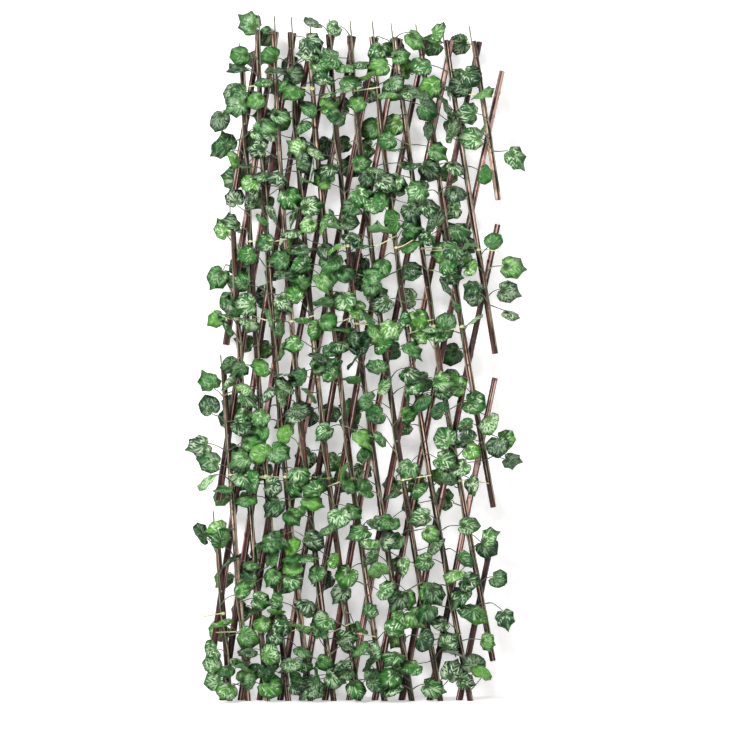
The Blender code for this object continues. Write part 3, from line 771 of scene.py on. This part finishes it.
def coat(tree, shader, colour, relief, distance, roughness=None):
    """Gives a shader its colour, its relief as deep as this distance, and its roughness where that varies."""
    normal = out_of(tree, "ShaderNodeBump", {"Height": relief, "Distance": distance, "Strength": 1.0})
    for label, socket in (("Base Color", colour), ("Normal", normal), ("Roughness", roughness)):
        if socket is not None:
            tree.links.new(socket, shader.inputs[label])


def use_group(tree, group, inputs):
    return add(tree, "ShaderNodeGroup", inputs, node_tree=group).outputs


def long_grain_group():
    """Streaks that run along a stick: broad bands, fine fibres and scattered scuffs."""
    tree, inputs, outputs = new_tree(
        "long_grain",
        "ShaderNodeTree",
        {"Place": ("Vector", None), "Stretch": ("Float", 0.05)},
        {"Bands": "Float", "Streaks": "Float", "Fibres": "Float", "Scuffs": "Float"},
    )
    x, y, z = separated(tree, inputs["Place"])
    height = times(tree, z, inputs["Stretch"])
    stretched = combined(tree, x, y, height)
    longer = combined(tree, x, y, times(tree, height, 0.5))
    tree.links.new(noise(tree, stretched, BAND_SCALE, detail=3.0, roughness=0.6), outputs["Bands"])
    tree.links.new(noise(tree, longer, STREAK_SCALE, roughness=0.4), outputs["Streaks"])
    tree.links.new(noise(tree, stretched, FIBRE_SCALE), outputs["Fibres"])
    tree.links.new(noise(tree, inputs["Place"], SCUFF_SCALE, detail=4.0, roughness=0.62), outputs["Scuffs"])
    return tree


def bark_material(name, grain, dark, warm, pale, pale_amount):
    """Willow bark: dark and warm bands, pale streaks (part bark, part painted highlight) and darker knots."""
    material, tree, shader = new_material(name, Roughness=0.4, Specular_IOR_Level=0.3)
    place = surface_attribute(tree, "bark_place", "Vector")
    streaks = use_group(tree, grain, {"Place": place, "Stretch": GRAIN_STRETCH})
    colour = tinted(tree, ramp(tree, streaks["Bands"], *BAND_EDGES), dark, warm)
    # Pale streaks along the stick: partly the bark's own pale colour, partly a painted highlight.
    streak_breakup = ramp(tree, streaks["Scuffs"], *SCUFF_EDGES, STREAK_BREAKUP_LEAST, 1.0)
    pale_streak_and_highlight = times(tree, ramp(tree, streaks["Streaks"], *STREAK_EDGES), streak_breakup)
    colour = tinted(tree, times(tree, pale_streak_and_highlight, pale_amount), colour, pale)
    cracks = ramp(tree, streaks["Fibres"], *CRACK_EDGES, CRACK_AMOUNT, 0.0)
    colour = tinted(tree, cracks, colour, dark)
    knot = surface_attribute(tree, "knot")
    knotted = ramp(tree, knot, *KNOT_EDGES, 0.0, KNOT_AMOUNT)
    colour = tinted(tree, knotted, colour, [part * KNOT_SHADE for part in dark])
    rough = ramp(tree, streaks["Scuffs"], *NOISE_EDGES, *BARK_ROUGHNESS)
    relief = maths(tree, "MULTIPLY_ADD", streaks["Fibres"], FIBRE_SHARE, streaks["Bands"])
    coat(tree, shader, colour, relief, BARK_RELIEF, rough)
    return material


def cut_wood_material(grain):
    """The sawn ends: pale rings round a darker pith."""
    material, tree, shader = new_material("cut_willow", Roughness=0.7)
    place = surface_attribute(tree, "bark_place", "Vector")
    x, y, _ = separated(tree, place)
    scuffs = use_group(tree, grain, {"Place": place})["Scuffs"]
    out = maths(tree, "MULTIPLY_ADD", scuffs, RING_WAVER, distance_out(tree, x, y))
    rings = maths(tree, "PINGPONG", out, RING_WIDTH)
    colour = tinted(tree, ramp(tree, rings, 0.0, RING_WIDTH), CUT_DARK, CUT_PALE)
    coat(tree, shader, colour, scuffs, CUT_RELIEF)
    return material


def leaf_material():
    """A printed ivy leaf: palmate veins, pale feathered streaks, and a duller back."""
    material, tree, shader = new_material("ivy_leaf", Roughness=0.4, Specular_IOR_Level=0.4)
    place = out_of(tree, "ShaderNodeUVMap", uv_map="leaf")
    u, v, _ = separated(tree, place)
    x = maths(tree, "SUBTRACT", u, LEAF_UV[0])
    y = maths(tree, "SUBTRACT", v, LEAF_UV[1])
    seed = surface_attribute(tree, "tint")
    streaky = surface_attribute(tree, "streaks")
    apart = times(tree, seed, PRINT_SPREAD)
    angle = maths(tree, "ARCTAN2", x, y)
    reach = distance_out(tree, x, y)
    from_vein = maths(tree, "PINGPONG", angle, VEIN_ANGLE / 2)
    off_vein = times(tree, from_vein, reach)
    vein_width = ramp(tree, reach, 0.0, VEIN_FADE, *VEIN_WIDTHS)
    veins = ramp(tree, maths(tree, "DIVIDE", off_vein, vein_width), *VEIN_EDGES, 1.0, 0.0)
    barbs = maths(tree, "SUBTRACT", reach, times(tree, off_vein, BARB_SLOPE))
    side_veins = maths(tree, "PINGPONG", times(tree, barbs, SIDE_VEIN_COUNT), 0.5)
    side_veins = ramp(tree, side_veins, *SIDE_VEIN_EDGES, 1.0, 0.0)

    level = ramp(tree, streaky, 0.0, 1.0, *PRINT_LEVELS)
    drift = noise(tree, combined(tree, x, y, apart), DRIFT_SCALE, detail=1.0)
    strokes = times(tree, barbs, STROKE_COUNT)
    strokes = maths(tree, "PINGPONG", maths(tree, "MULTIPLY_ADD", drift, STROKE_WAVER, strokes), 0.5)
    printed = ramp(tree, maths(tree, "SUBTRACT", drift, level), *PRINT_EDGES)
    feathers = times(tree, ramp(tree, strokes, *STROKE_EDGES), printed)
    ray_place = combined(tree, times(tree, angle, RAY_COUNT), times(tree, reach, RAY_LENGTH), apart)
    rays = noise(tree, ray_place, 1.0, detail=0.6)
    rays = ramp(tree, maths(tree, "SUBTRACT", rays, level), *RAY_EDGES)
    within = times(tree, ramp(tree, reach, *PRINT_START), ramp(tree, reach, *PRINT_END))
    either = maths(tree, "MAXIMUM", feathers, times(tree, rays, RAY_AMOUNT))
    streaks = times(tree, either, within)

    patches = noise(tree, combined(tree, x, y, apart), PATCH_SCALE)
    fresh = maths(tree, "MULTIPLY_ADD", maths(tree, "SUBTRACT", patches, 0.5), PATCH_AMOUNT, seed)
    green = tinted(tree, ramp(tree, fresh, *MID_EDGES), LEAF_DEEP, LEAF_MID)
    green = tinted(tree, ramp(tree, fresh, *FRESH_EDGES), green, LEAF_FRESH)
    green = tinted(tree, times(tree, side_veins, SIDE_VEIN_AMOUNT), green, LEAF_VEIN)
    paleness = ramp(tree, maths(tree, "FRACT", times(tree, seed, PALE_TURNS)), 0.0, 1.0, *PALE_AMOUNTS)
    green = tinted(tree, times(tree, streaks, paleness), green, LEAF_PALE)
    green = tinted(tree, times(tree, veins, VEIN_AMOUNT), green, LEAF_VEIN)
    underside = surface_attribute(tree, "underside")
    back = tinted(tree, veins, LEAF_BACK, LEAF_VEIN)
    colour = tinted(tree, underside, green, back)
    rough = ramp(tree, patches, *NOISE_EDGES, *LEAF_ROUGHNESS)
    rough = maths(tree, "MULTIPLY_ADD", underside, UNDERSIDE_ROUGHNESS, rough)
    relief = maths(tree, "SUBTRACT", times(tree, patches, PATCH_RELIEF), veins)
    relief = maths(tree, "MULTIPLY_ADD", side_veins, SIDE_VEIN_RELIEF, relief)
    coat(tree, shader, colour, relief, LEAF_RELIEF, rough)
    return material


def vine_material():
    """Dull plastic: olive and tan stems, and grey-green stalks that are paler in places."""
    material, tree, shader = new_material("vine_skin", Roughness=0.5)
    place = object_place(tree)
    patches = noise(tree, place, VINE_PATCH_SCALE)
    stem = tinted(tree, ramp(tree, patches, *STEM_EDGES), STEM_OLIVE, STEM_TAN)
    stalk = tinted(tree, ramp(tree, patches, *STALK_EDGES), STALK_DARK, STALK_PALE)
    colour = tinted(tree, surface_attribute(tree, "stalk"), stem, stalk)
    coat(tree, shader, colour, noise(tree, place, VINE_GRAIN_SCALE), VINE_RELIEF)
    return material


def tie_material():
    """Pale yellow-green nylon, clouded inside."""
    material, tree, shader = new_material("tie_nylon", Roughness=0.42, Specular_IOR_Level=0.5)
    place = object_place(tree)
    cloud = noise(tree, place, TIE_CLOUD_SCALE)
    colour = tinted(tree, ramp(tree, cloud, *TIE_EDGES), TIE_DARK, TIE_PALE)
    coat(tree, shader, colour, noise(tree, place, TIE_GRAIN_SCALE), TIE_RELIEF)
    return material


def nail_material():
    """Dull wire, browned in places."""
    material, tree, shader = new_material("nail_wire", Metallic=1.0)
    place = object_place(tree)
    rust = noise(tree, place, NAIL_RUST_SCALE, detail=3.0)
    colour = tinted(tree, ramp(tree, rust, *NAIL_RUST_EDGES), NAIL_GREY, NAIL_RUST)
    coat(tree, shader, colour, rust, NAIL_RELIEF, ramp(tree, rust, *NOISE_EDGES, *NAIL_ROUGHNESS))
    return material


# Sticks


def add_foot_spare(line, widths):
    """Carries a standing stick on below the floor, so that its foot can be cut level."""
    down = (line[0] - line[1]).normalized()
    return [line[0] + down * FOOT_SPARE, *line[1:]], widths


def evened(line, widths):
    """A stick's line with even steps between its bends, so that the curve through it can't overshoot."""
    points, across = [line[0]], [widths[0]]
    for n in range(1, len(line)):
        count = max(1, round((line[n] - line[n - 1]).length / LINE_STEP))
        for k in range(1, count + 1):
            points.append(line[n - 1].lerp(line[n], k / count))
            across.append(widths[n - 1] + (widths[n] - widths[n - 1]) * k / count)
    return points, across


def finish_stick_ends(piece, stands, cut_wood):
    """Cuts a standing foot level, chamfers both ends and gives them the colour of cut wood."""
    piece.data.materials.append(cut_wood)
    bm = bmesh.new()
    bm.from_mesh(piece.data)
    if stands:
        everything = bm.verts[:] + bm.edges[:] + bm.faces[:]
        bmesh.ops.bisect_plane(bm, geom=everything, plane_co=(0, 0, 0), plane_no=(0, 0, 1), clear_inner=True)
        rim = [edge for edge in bm.edges if edge.is_boundary]
        bmesh.ops.contextual_create(bm, geom=rim)
    ends = [face for face in bm.faces if len(face.verts) > 4]
    for face in ends:
        face.material_index = 1
    edges = list({edge for face in ends for edge in face.edges})
    bmesh.ops.bevel(bm, geom=edges, offset=END_CHAMFER, segments=1, affect="EDGES", clamp_overlap=True)
    bmesh.ops.recalc_face_normals(bm, faces=bm.faces)
    for face in bm.faces:
        face.smooth = face.material_index == 0
    bm.to_mesh(piece.data)
    bm.free()


def make_sticks(names, outer_y, inner_y, bark, cut_wood, tree):
    """The willow sticks of one layer."""
    middle_y = (outer_y + inner_y) / 2
    for number, name in enumerate(names):
        line, widths = evened(*stick_line(name, outer_y))
        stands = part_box(name)[0].z < FLAT_TOLERANCE
        if stands:
            line, widths = add_foot_spare(line, widths)
        chain = [(point.x, middle_y, point.y) for point in line]
        seed = number * SEED_STEP + (BACK_SEED_START if outer_y > 0 else FRONT_SEED_START)
        values = {"Depth": abs(outer_y - inner_y), "Seed": seed, "Bark": bark}
        half_widths = ("FLOAT", [width / 2 for width in widths])
        piece = grown(f"willow_{name}", [chain], tree, values, {"half_width": half_widths})
        finish_stick_ends(piece, stands, cut_wood)
        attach(piece, name)
        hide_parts(name)


# Leaves


def leaf_rise(x, y, form):
    """How far a leaf's face stands forward at a place, in shares of its width."""
    reach = math.hypot(x, y)
    angle = math.atan2(x, y)
    pucker = math.cos(angle * math.tau / VEIN_ANGLE) * form["pucker"] * reach * PUCKER_SHARE
    fold = -form["fold"] * abs(x)
    cup = form["cup"] * reach * reach
    droop = -form["droop"] * max(y, 0.0) ** 2
    wave = form["wave"] * math.sin(angle * WAVE_COUNT + form["turn"]) * reach
    return pucker + fold + cup + droop + wave


def leaf_form(name, form, collection):
    """A closed leaf of unit width. Its stalk ends at the origin, its tip points along +Y, it faces +Z."""
    rng = random.Random(name)
    right = [(degrees, share + form["lobe"] * lobe) for degrees, share, lobe in RIM_SHARES]
    left = [(-degrees, share) for degrees, share in reversed(right)]
    outline = []
    for degrees, share in [(180, SINUS_SHARE), *right, (0, TIP_SHARE + form["point"]), *left]:
        jitter = rng.uniform(-RIM_JITTER_DEGREES, RIM_JITTER_DEGREES)
        angle = math.radians(degrees + jitter * (degrees % 180 > 0))
        share *= rng.uniform(*RIM_JITTER_SHARE)
        outline.append((form["side"] * share * math.sin(angle), LEAF_MIDDLE_SHARE + share * math.cos(angle)))
    bm = bmesh.new()
    uv = bm.loops.layers.uv.new("leaf")
    under = bm.faces.layers.float.new("underside")
    thick = LEAF_THICKNESS / LEAF_MEAN_WIDTH

    def corner(x, y, sink=0.0):
        return bm.verts.new((x, y, leaf_rise(x, y, form) - sink))

    rim = [corner(x, y) for x, y in outline]
    middles = [(x * LEAF_RING_SHARE, y * LEAF_RING_SHARE) for x, y in outline]
    top = [corner(x, y) for x, y in middles]
    bottom = [corner(x, y, thick) for x, y in middles]
    hubs = corner(0.0, 0.0), corner(0.0, 0.0, thick)
    count = len(outline)
    for ring, hub, is_under in ((top, hubs[0], 0.0), (bottom, hubs[1], 1.0)):
        for k in range(count):
            m = (k + 1) % count
            for face in ((hub, ring[k], ring[m]), (ring[k], rim[k], rim[m], ring[m])):
                made = bm.faces.new(face if is_under else tuple(reversed(face)))
                made[under] = is_under
                made.smooth = True
    bm.normal_update()
    for face in bm.faces:
        for loop in face.loops:
            loop[uv].uv = (loop.vert.co.x + LEAF_UV[0], loop.vert.co.y + LEAF_UV[1])
    if bm.calc_volume(signed=True) < 0:
        bmesh.ops.reverse_faces(bm, faces=bm.faces)
    collection.objects.link(bpy.data.objects.new(name, mesh_from(name, bm)))


def leaf_collection():
    collection = bpy.data.collections.new("leaf_forms")
    for number, form in enumerate(LEAF_FORMS):
        leaf_form(f"leaf_form_{number}", dict(zip(LEAF_TRAITS, form)), collection)
    return collection


def make_leaves(number, leaves, forms, material, tree, rng):
    """The leaves of one garland, each on its CAD leaf."""
    points, facing, pointing, size, tint, streaks, form = [], [], [], [], [], [], []
    for stalk, tip, look, width in leaves:
        base = stalk[-1]
        along = (tip - base).normalized()
        across = along.cross(look)
        spot = base + along * (JUNCTION_SHARE * width)
        reaches = [(across.z * x + along.z * y) * width * LEAF_FULLNESS for x, y in LEAF_REACHES]
        spot.z += max(0.0, FLOOR_CLEARANCE - (spot.z + min(reaches)))
        points.append(spot)
        facing.append(look)
        pointing.append(along)
        relief = PRESSED_SHARE if base.y > 0 else 1.0
        size.append((width * LEAF_FULLNESS, width * LEAF_FULLNESS, width * relief))
        tint.append(rng.random())
        streaks.append(rng.random())
        form.append(rng.randrange(len(LEAF_FORMS)))
    attributes = {
        "facing": ("FLOAT_VECTOR", facing),
        "pointing": ("FLOAT_VECTOR", pointing),
        "size": ("FLOAT_VECTOR", size),
        "tint": ("FLOAT", tint),
        "streaks": ("FLOAT", streaks),
        "form": ("INT", form),
    }
    values = {"Forms": forms, "Finish": material}
    return grown(f"ivy_leaves_{number:02d}", [[point] for point in points], tree, values, attributes)


def make_vine(number, stem, leaves, material, tree, rng):
    """One garland's stem with its leaf stalks and the wire end above it."""
    stem_y = (STEM_BACK_Y + STEM_RIDGE_Y) / 2
    stem = stem[:1] + [spot for low, spot in zip(stem, stem[1:]) if (spot - low).length > STEM_STEP_LEAST]
    chains = [[Vector((point.x, stem_y, point.y)) for point in stem]]
    thicknesses, stalks = [STEM_THICKNESS] * len(stem), [0.0] * len(stem)
    for (root, *bends, base), tip, _, width in leaves:
        junction = base + (tip - base).normalized() * (JUNCTION_SHARE * width)
        leaving = base - root
        bow = Vector((0.0, 0.0, leaving.length * rng.uniform(*STALK_BOW)))
        start = Vector((root.x, stem_y, root.z))
        if bends:
            bend = bends[0]
            low = bend * (1 - BEND_SHARE) + base * BEND_SHARE
            high = bend * BEND_SHARE + base * (1 - BEND_SHARE)
            chains.append([start, bend, low, high, base, junction])
        else:
            middle = root + leaving * 0.5 + bow
            bent = (start + middle) / 2 + bow / 4
            near_base = base * (1 - BASE_SHARE) + middle * BASE_SHARE
            chains.append([start, bent, middle, near_base, junction])
        thicknesses += [STALK_START] * 2 + [STALK_END] * (len(chains[-1]) - 2)
        stalks += [1.0] * len(chains[-1])
    up = (chains[0][-1] - chains[0][-2]).normalized()
    top = chains[0][-1]
    lean = Vector((rng.uniform(*WIRE_LEAN_ACROSS), rng.uniform(*WIRE_LEAN_BACK), 1.0)).normalized()
    length = rng.uniform(*WIRE_LENGTH)
    bend = top + up * (length / 2)
    chains.append([top - up * STEM_THICKNESS, bend, bend + lean * (length / 2)])
    thicknesses += [WIRE_THICKNESS] * len(chains[-1])
    stalks += [1.0] * len(chains[-1])
    attributes = {"thickness": ("FLOAT", thicknesses), "stalk": ("FLOAT", stalks)}
    return grown(f"vine_{number:02d}", chains, tree, {"Skin": material}, attributes)


# Nails


def nail_collection():
    """A nail's domed head, of unit radius, with its face along +Z."""
    collection = bpy.data.collections.new("nail_forms")
    bm = bmesh.new()
    rings = []
    for radius, height in NAIL_RINGS:
        ring = []
        for k in range(NAIL_SIDES):
            angle = k * math.tau / NAIL_SIDES
            ring.append(bm.verts.new((radius * math.cos(angle), radius * math.sin(angle), height)))
        rings.append(ring)
    skin(bm, rings, False)
    collection.objects.link(bpy.data.objects.new("nail_form", mesh_from("nail_form", bm)))
    return collection


def make_nails(name, spots, forms, material, tree):
    """The nail heads on one front stick."""
    points = [(spot.x, FRONT_OUTER_Y, spot.y) for spot in spots]
    attributes = {
        "facing": ("FLOAT_VECTOR", [TO_FRONT] * len(points)),
        "pointing": ("FLOAT_VECTOR", [Vector((0.0, 0.0, 1.0))] * len(points)),
        "size": ("FLOAT_VECTOR", [Vector((NAIL_RADIUS, NAIL_RADIUS, NAIL_RADIUS))] * len(points)),
        "form": ("INT", [0] * len(points)),
    }
    values = {"Forms": forms, "Finish": material}
    return grown(name, [[point] for point in points], tree, values, attributes)


# Cable ties


def point_on(line, z):
    """The place at a height on a line of (x, z) points, and the line's upward direction there."""
    for low, high in zip(line, line[1:]):
        if z <= high.y or high is line[-1]:
            break
    along = (high - low).normalized()
    return low + along * ((z - low.y) / along.y), along


def packed_tie(node):
    """Where a CAD tie goes round its stick, and which way its tail points."""
    corners = [vert.co for vert in NODES[node].data.vertices]
    back_y = max(corner.y for corner in corners)
    back = [corner for corner in corners if corner.y > back_y - FLAT_TOLERANCE]
    middle = sum(back, Vector()) / len(back)
    end = max(corners, key=lambda corner: (corner - middle).length)
    return middle.z, 1 if end.x > middle.x else -1


def extra_ties(pins, taken, rng):
    """More ties on a stick as (height, hand), half way between two pins, near the screen's rows of them."""
    heights = sorted(pin.y for pin in pins)
    for low, high in zip(heights, heights[1:]):
        middle = (low + high) / 2
        near = min(abs(middle - row) for row in TIE_ROW_HEIGHTS) < TIE_ROW_REACH
        if rng.random() < TIE_SHARE and near and all(abs(middle - other) > TIE_APART for other in taken):
            yield middle, rng.choice((-1, 1))


def smoothed(points, steps):
    """A smooth path through points, with this many steps between each two."""
    path = []
    for k in range(len(points) - 1):
        before, start, end, after = (points[min(max(k + n, 0), len(points) - 1)] for n in (-1, 0, 1, 2))
        for n in range(steps):
            t = n / steps
            bend = (end - before) * t + (before * 2 - start * 5 + end * 4 - after) * t**2
            bend += (start * 3 - before - end * 3 + after) * t**3
            path.append(start + bend / 2)
    return [*path, points[-1]]


def strap(bm, path, ways, widths):
    """A flat strap along a path, closed at both ends. Ways are the directions across it."""
    rings = []
    for k, (spot, way, width) in enumerate(zip(path, ways, widths)):
        heading = path[min(k + 1, len(path) - 1)] - path[max(k - 1, 0)]
        out = heading.cross(way).normalized() * (TIE_THICKNESS / 2)
        half = way * (width / 2)
        inset = half * STRAP_FLAT_SHARE
        front = [spot + half, spot + inset + out, spot - inset + out]
        back = [spot - half, spot - inset - out, spot + inset - out]
        rings.append([bm.verts.new(corner) for corner in front + back])
    skin(bm, rings, True)


def tie_head(bm, middle, across, along):
    """The ratchet head, with rounded edges."""
    wide, long, deep = TIE_HEAD
    made = bmesh.ops.create_cube(bm, size=1.0)["verts"]
    for vert in made:
        x, y, z = vert.co
        vert.co = middle + across * (x * wide) + along * (z * long) + Vector((0.0, y * deep, 0.0))
    edges = list({edge for vert in made for edge in vert.link_edges})
    bmesh.ops.bevel(bm, geom=edges, offset=deep * HEAD_BEVEL_SHARE, segments=2, affect="EDGES")


def add_tie(bm, line, widths, height, hand, rng):
    """A tie round a front stick and its stem: a snug loop, a head in front and an uncut tail to one side."""
    centre, along = point_on(line, height)
    share = (height - line[0].y) / (line[-1].y - line[0].y)
    spare = TIE_CLEARANCE + TIE_THICKNESS / 2
    half = (widths[0] * (1 - share) + widths[-1] * share) / 2 + spare
    middle_y = (FRONT_OUTER_Y + FRONT_INNER_Y) / 2
    half_depth = (FRONT_INNER_Y - FRONT_OUTER_Y) / 2 + spare
    crown = middle_y - STEM_RIDGE_Y + spare
    up = Vector((along.x, 0.0, along.y))
    side = Vector((along.y, 0.0, -along.x)) * hand
    base = Vector((centre.x, middle_y, centre.y))

    head_out = crown + TIE_HEAD[2] / 2
    loop = [(0.0, crown), (LOOP_SHOULDER_SHARE * half, crown - TIE_CLEARANCE)]
    for degrees in LOOP_DEGREES:
        angle = math.radians(degrees)
        loop.append((half * math.cos(angle), half_depth * math.sin(angle)))
    loop += [(-LOOP_SHOULDER_SHARE * half, crown), (0.0, head_out)]
    loop.append((TIE_HEAD[0] * HEAD_REACH_SHARE, head_out))
    path = smoothed([base + side * across + TO_FRONT * out for across, out in loop], TIE_ARC_STEPS)
    ways = [up] * len(path)
    tilt, curl, length = rng.uniform(*TAIL_TILT), rng.uniform(*TAIL_CURL), rng.uniform(*TAIL_LENGTH)
    step = length / TAIL_STEPS
    for k in range(TAIL_STEPS):
        turned = tilt * min(1.0, (k + 1) / TAIL_EASE)
        heading = (side * math.cos(turned) + up * math.sin(turned)) * math.cos(curl * k / TAIL_STEPS)
        path.append(path[-1] + (heading + TO_FRONT * math.sin(curl * k / TAIL_STEPS)) * step)
        ways.append(up * math.cos(turned) - side * math.sin(turned))
    widths = [TIE_WIDTH] * (len(path) - 2) + [TIE_WIDTH * TAIL_TAPER, TIE_WIDTH * TAIL_TAPER**2]
    strap(bm, path, ways, widths)
    head_middle = crown - spare + TIE_CLEARANCE + TIE_HEAD[2] / 2
    tie_head(bm, base + TO_FRONT * head_middle, side, up)


def make_ties(number, body, material, rng):
    """All the ties on one front stick. The first is where the lattice has it."""
    line, widths = stick_line(body, FRONT_OUTER_Y)
    node = f"cable_tie_{number:02d}"
    if node in NODES:
        places = [packed_tie(node)]
    else:
        places = [((line[0].y + line[-1].y) / 2, -1)]
    places += extra_ties(pin_spots(body), [height for height, _ in places], rng)
    bm = bmesh.new()
    for height, hand in places:
        add_tie(bm, line, widths, height, hand, rng)
    bmesh.ops.recalc_face_normals(bm, faces=bm.faces)
    name = f"tie_straps_{number:02d}"
    piece = show(name, mesh_from(name, bm))
    piece.data.materials.append(material)
    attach(piece, body)
    if node in NODES:
        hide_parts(node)


# Stage, lights and camera


def make_stage():
    """A floor and a wall close behind the screen, which is clear from behind."""
    wide, front, high = STAGE_HALF_WIDTH, -STAGE_DEPTH, STAGE_HEIGHT
    floor = [(-wide, front, 0.0), (wide, front, 0.0), (wide, WALL_Y, 0.0), (-wide, WALL_Y, 0.0)]
    wall = [(-wide, WALL_Y, 0.0), (wide, WALL_Y, 0.0), (wide, WALL_Y, high), (-wide, WALL_Y, high)]
    stage_plane("studio_floor", floor, False)
    stage_plane("studio_wall", wall, True)


def stage_material(name, clear_behind):
    """White board that keeps the shadows, and shows white to the camera away from the screen."""
    material = bpy.data.materials.new(name)
    material.use_nodes = True
    tree = material.node_tree
    tree.nodes.remove(tree.nodes["Principled BSDF"])
    output = tree.nodes["Material Output"]
    board = out_of(tree, "ShaderNodeBsdfDiffuse", {"Color": BOARD_COLOUR})
    path = add(tree, "ShaderNodeLightPath").outputs
    seen = maths(tree, "MAXIMUM", path["Is Camera Ray"], path["Is Glossy Ray"])
    away = measured(tree, "DISTANCE", object_place(tree), STAGE_MIDDLE)
    glow = ramp(tree, away, *STAGE_FADE, STAGE_GLOW, 1.0)
    light = out_of(tree, "ShaderNodeEmission", {"Strength": times(tree, seen, glow)})
    shader = out_of(tree, "ShaderNodeAddShader", {0: board, 1: light})
    if clear_behind:
        behind = add(tree, "ShaderNodeNewGeometry").outputs["Backfacing"]
        clear = out_of(tree, "ShaderNodeBsdfTransparent")
        shader = out_of(tree, "ShaderNodeMixShader", {0: behind, 1: shader, 2: clear})
    tree.links.new(shader, output.inputs["Surface"])
    return material


def stage_plane(name, corners, clear_behind):
    mesh = bpy.data.meshes.new(name)
    mesh.from_pydata(corners, [], [(0, 1, 2, 3)])
    mesh.materials.append(stage_material(name, clear_behind))
    return show(name, mesh)


def add_lamp(name, place, size, power):
    """A soft lamp that points at the middle of the screen."""
    light = bpy.data.lights.new(name, "AREA")
    light.shape = "RECTANGLE"
    light.size, light.size_y = size
    light.energy = power
    lamp = show(name, light)
    lamp.location = place
    lamp.rotation_euler = (Vector(STAGE_MIDDLE) - Vector(place)).to_track_quat("-Z", "Y").to_euler()


def make_light():
    add_lamp("key_light", *KEY_LIGHT)
    add_lamp("fill_light", *FILL_LIGHT)
    world = bpy.data.worlds.new("studio")
    bpy.context.scene.world = world
    world.use_nodes = True
    tree = world.node_tree
    seen = add(tree, "ShaderNodeLightPath").outputs["Is Camera Ray"]
    strength = ramp(tree, seen, 0.0, 1.0, WORLD_LIGHT, 1.0)
    background = tree.nodes["Background"]
    background.inputs["Color"].default_value = (1.0, 1.0, 1.0, 1.0)
    tree.links.new(strength, background.inputs["Strength"])


def make_camera():
    """A level view of the front from the photograph's place."""
    low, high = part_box("pivot_pin")
    pivot = (low + high) / 2
    x = pivot.x + (PHOTO_SIZE / 2 - PIVOT_PIXEL[0]) * METRES_PER_PIXEL
    z = pivot.z + (PIVOT_PIXEL[1] - PHOTO_SIZE / 2) * METRES_PER_PIXEL
    data = bpy.data.cameras.new("view")
    data.lens = data.sensor_width * VIEW_DISTANCE / (PHOTO_SIZE * METRES_PER_PIXEL)
    camera = show("view", data)
    camera.location = (x, FRONT_OUTER_Y - VIEW_DISTANCE, z)
    camera.rotation_euler = (math.pi / 2, 0.0, 0.0)
    bpy.context.scene.camera = camera
    bpy.context.scene.view_settings.view_transform = "Standard"


def main():
    make_camera()
    make_stage()
    make_light()
    grain = long_grain_group()
    back_bark = bark_material("back_bark", grain, **BACK_BARK)
    front_bark = bark_material("front_bark", grain, **FRONT_BARK)
    cut_wood = cut_wood_material(grain)
    sticks = stick_tree()
    make_sticks(BACK_NAMES, BACK_OUTER_Y, BACK_INNER_Y, back_bark, cut_wood, sticks)
    make_sticks(FRONT_NAMES, FRONT_OUTER_Y, FRONT_INNER_Y, front_bark, cut_wood, sticks)

    leaf_finish, vine_finish, nail_finish = leaf_material(), vine_material(), nail_material()
    forms, nails = leaf_collection(), nail_collection()
    leaf_growth, vine_growth, nail_growth = scatter_tree("ivy_leaves"), vine_tree(), scatter_tree("nails")
    for number, body in enumerate(FRONT_NAMES):
        node = f"ivy_{number:02d}"
        rng = random.Random(SEED + number)
        leaves = read_leaves(node)
        foliage = make_leaves(number, leaves, forms, leaf_finish, leaf_growth, rng)
        vine = make_vine(number, stem_line(node, STEM_BACK_Y), leaves, vine_finish, vine_growth, rng)
        heads = make_nails(f"nail_heads_{number:02d}", pin_spots(body), nails, nail_finish, nail_growth)
        for piece, slot in ((foliage, "ivy"), (vine, "ivy"), (heads, "pin")):
            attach(piece, body)
        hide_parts(node)
        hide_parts(node)
    ties = tie_material()
    for number, body in enumerate(FRONT_NAMES):
        make_ties(number, body, ties, random.Random(TIE_SEED + number))
    pivot = NODES["pivot_pin"]
    pivot.data.materials.clear()
    pivot.data.materials.append(nail_finish)


main()
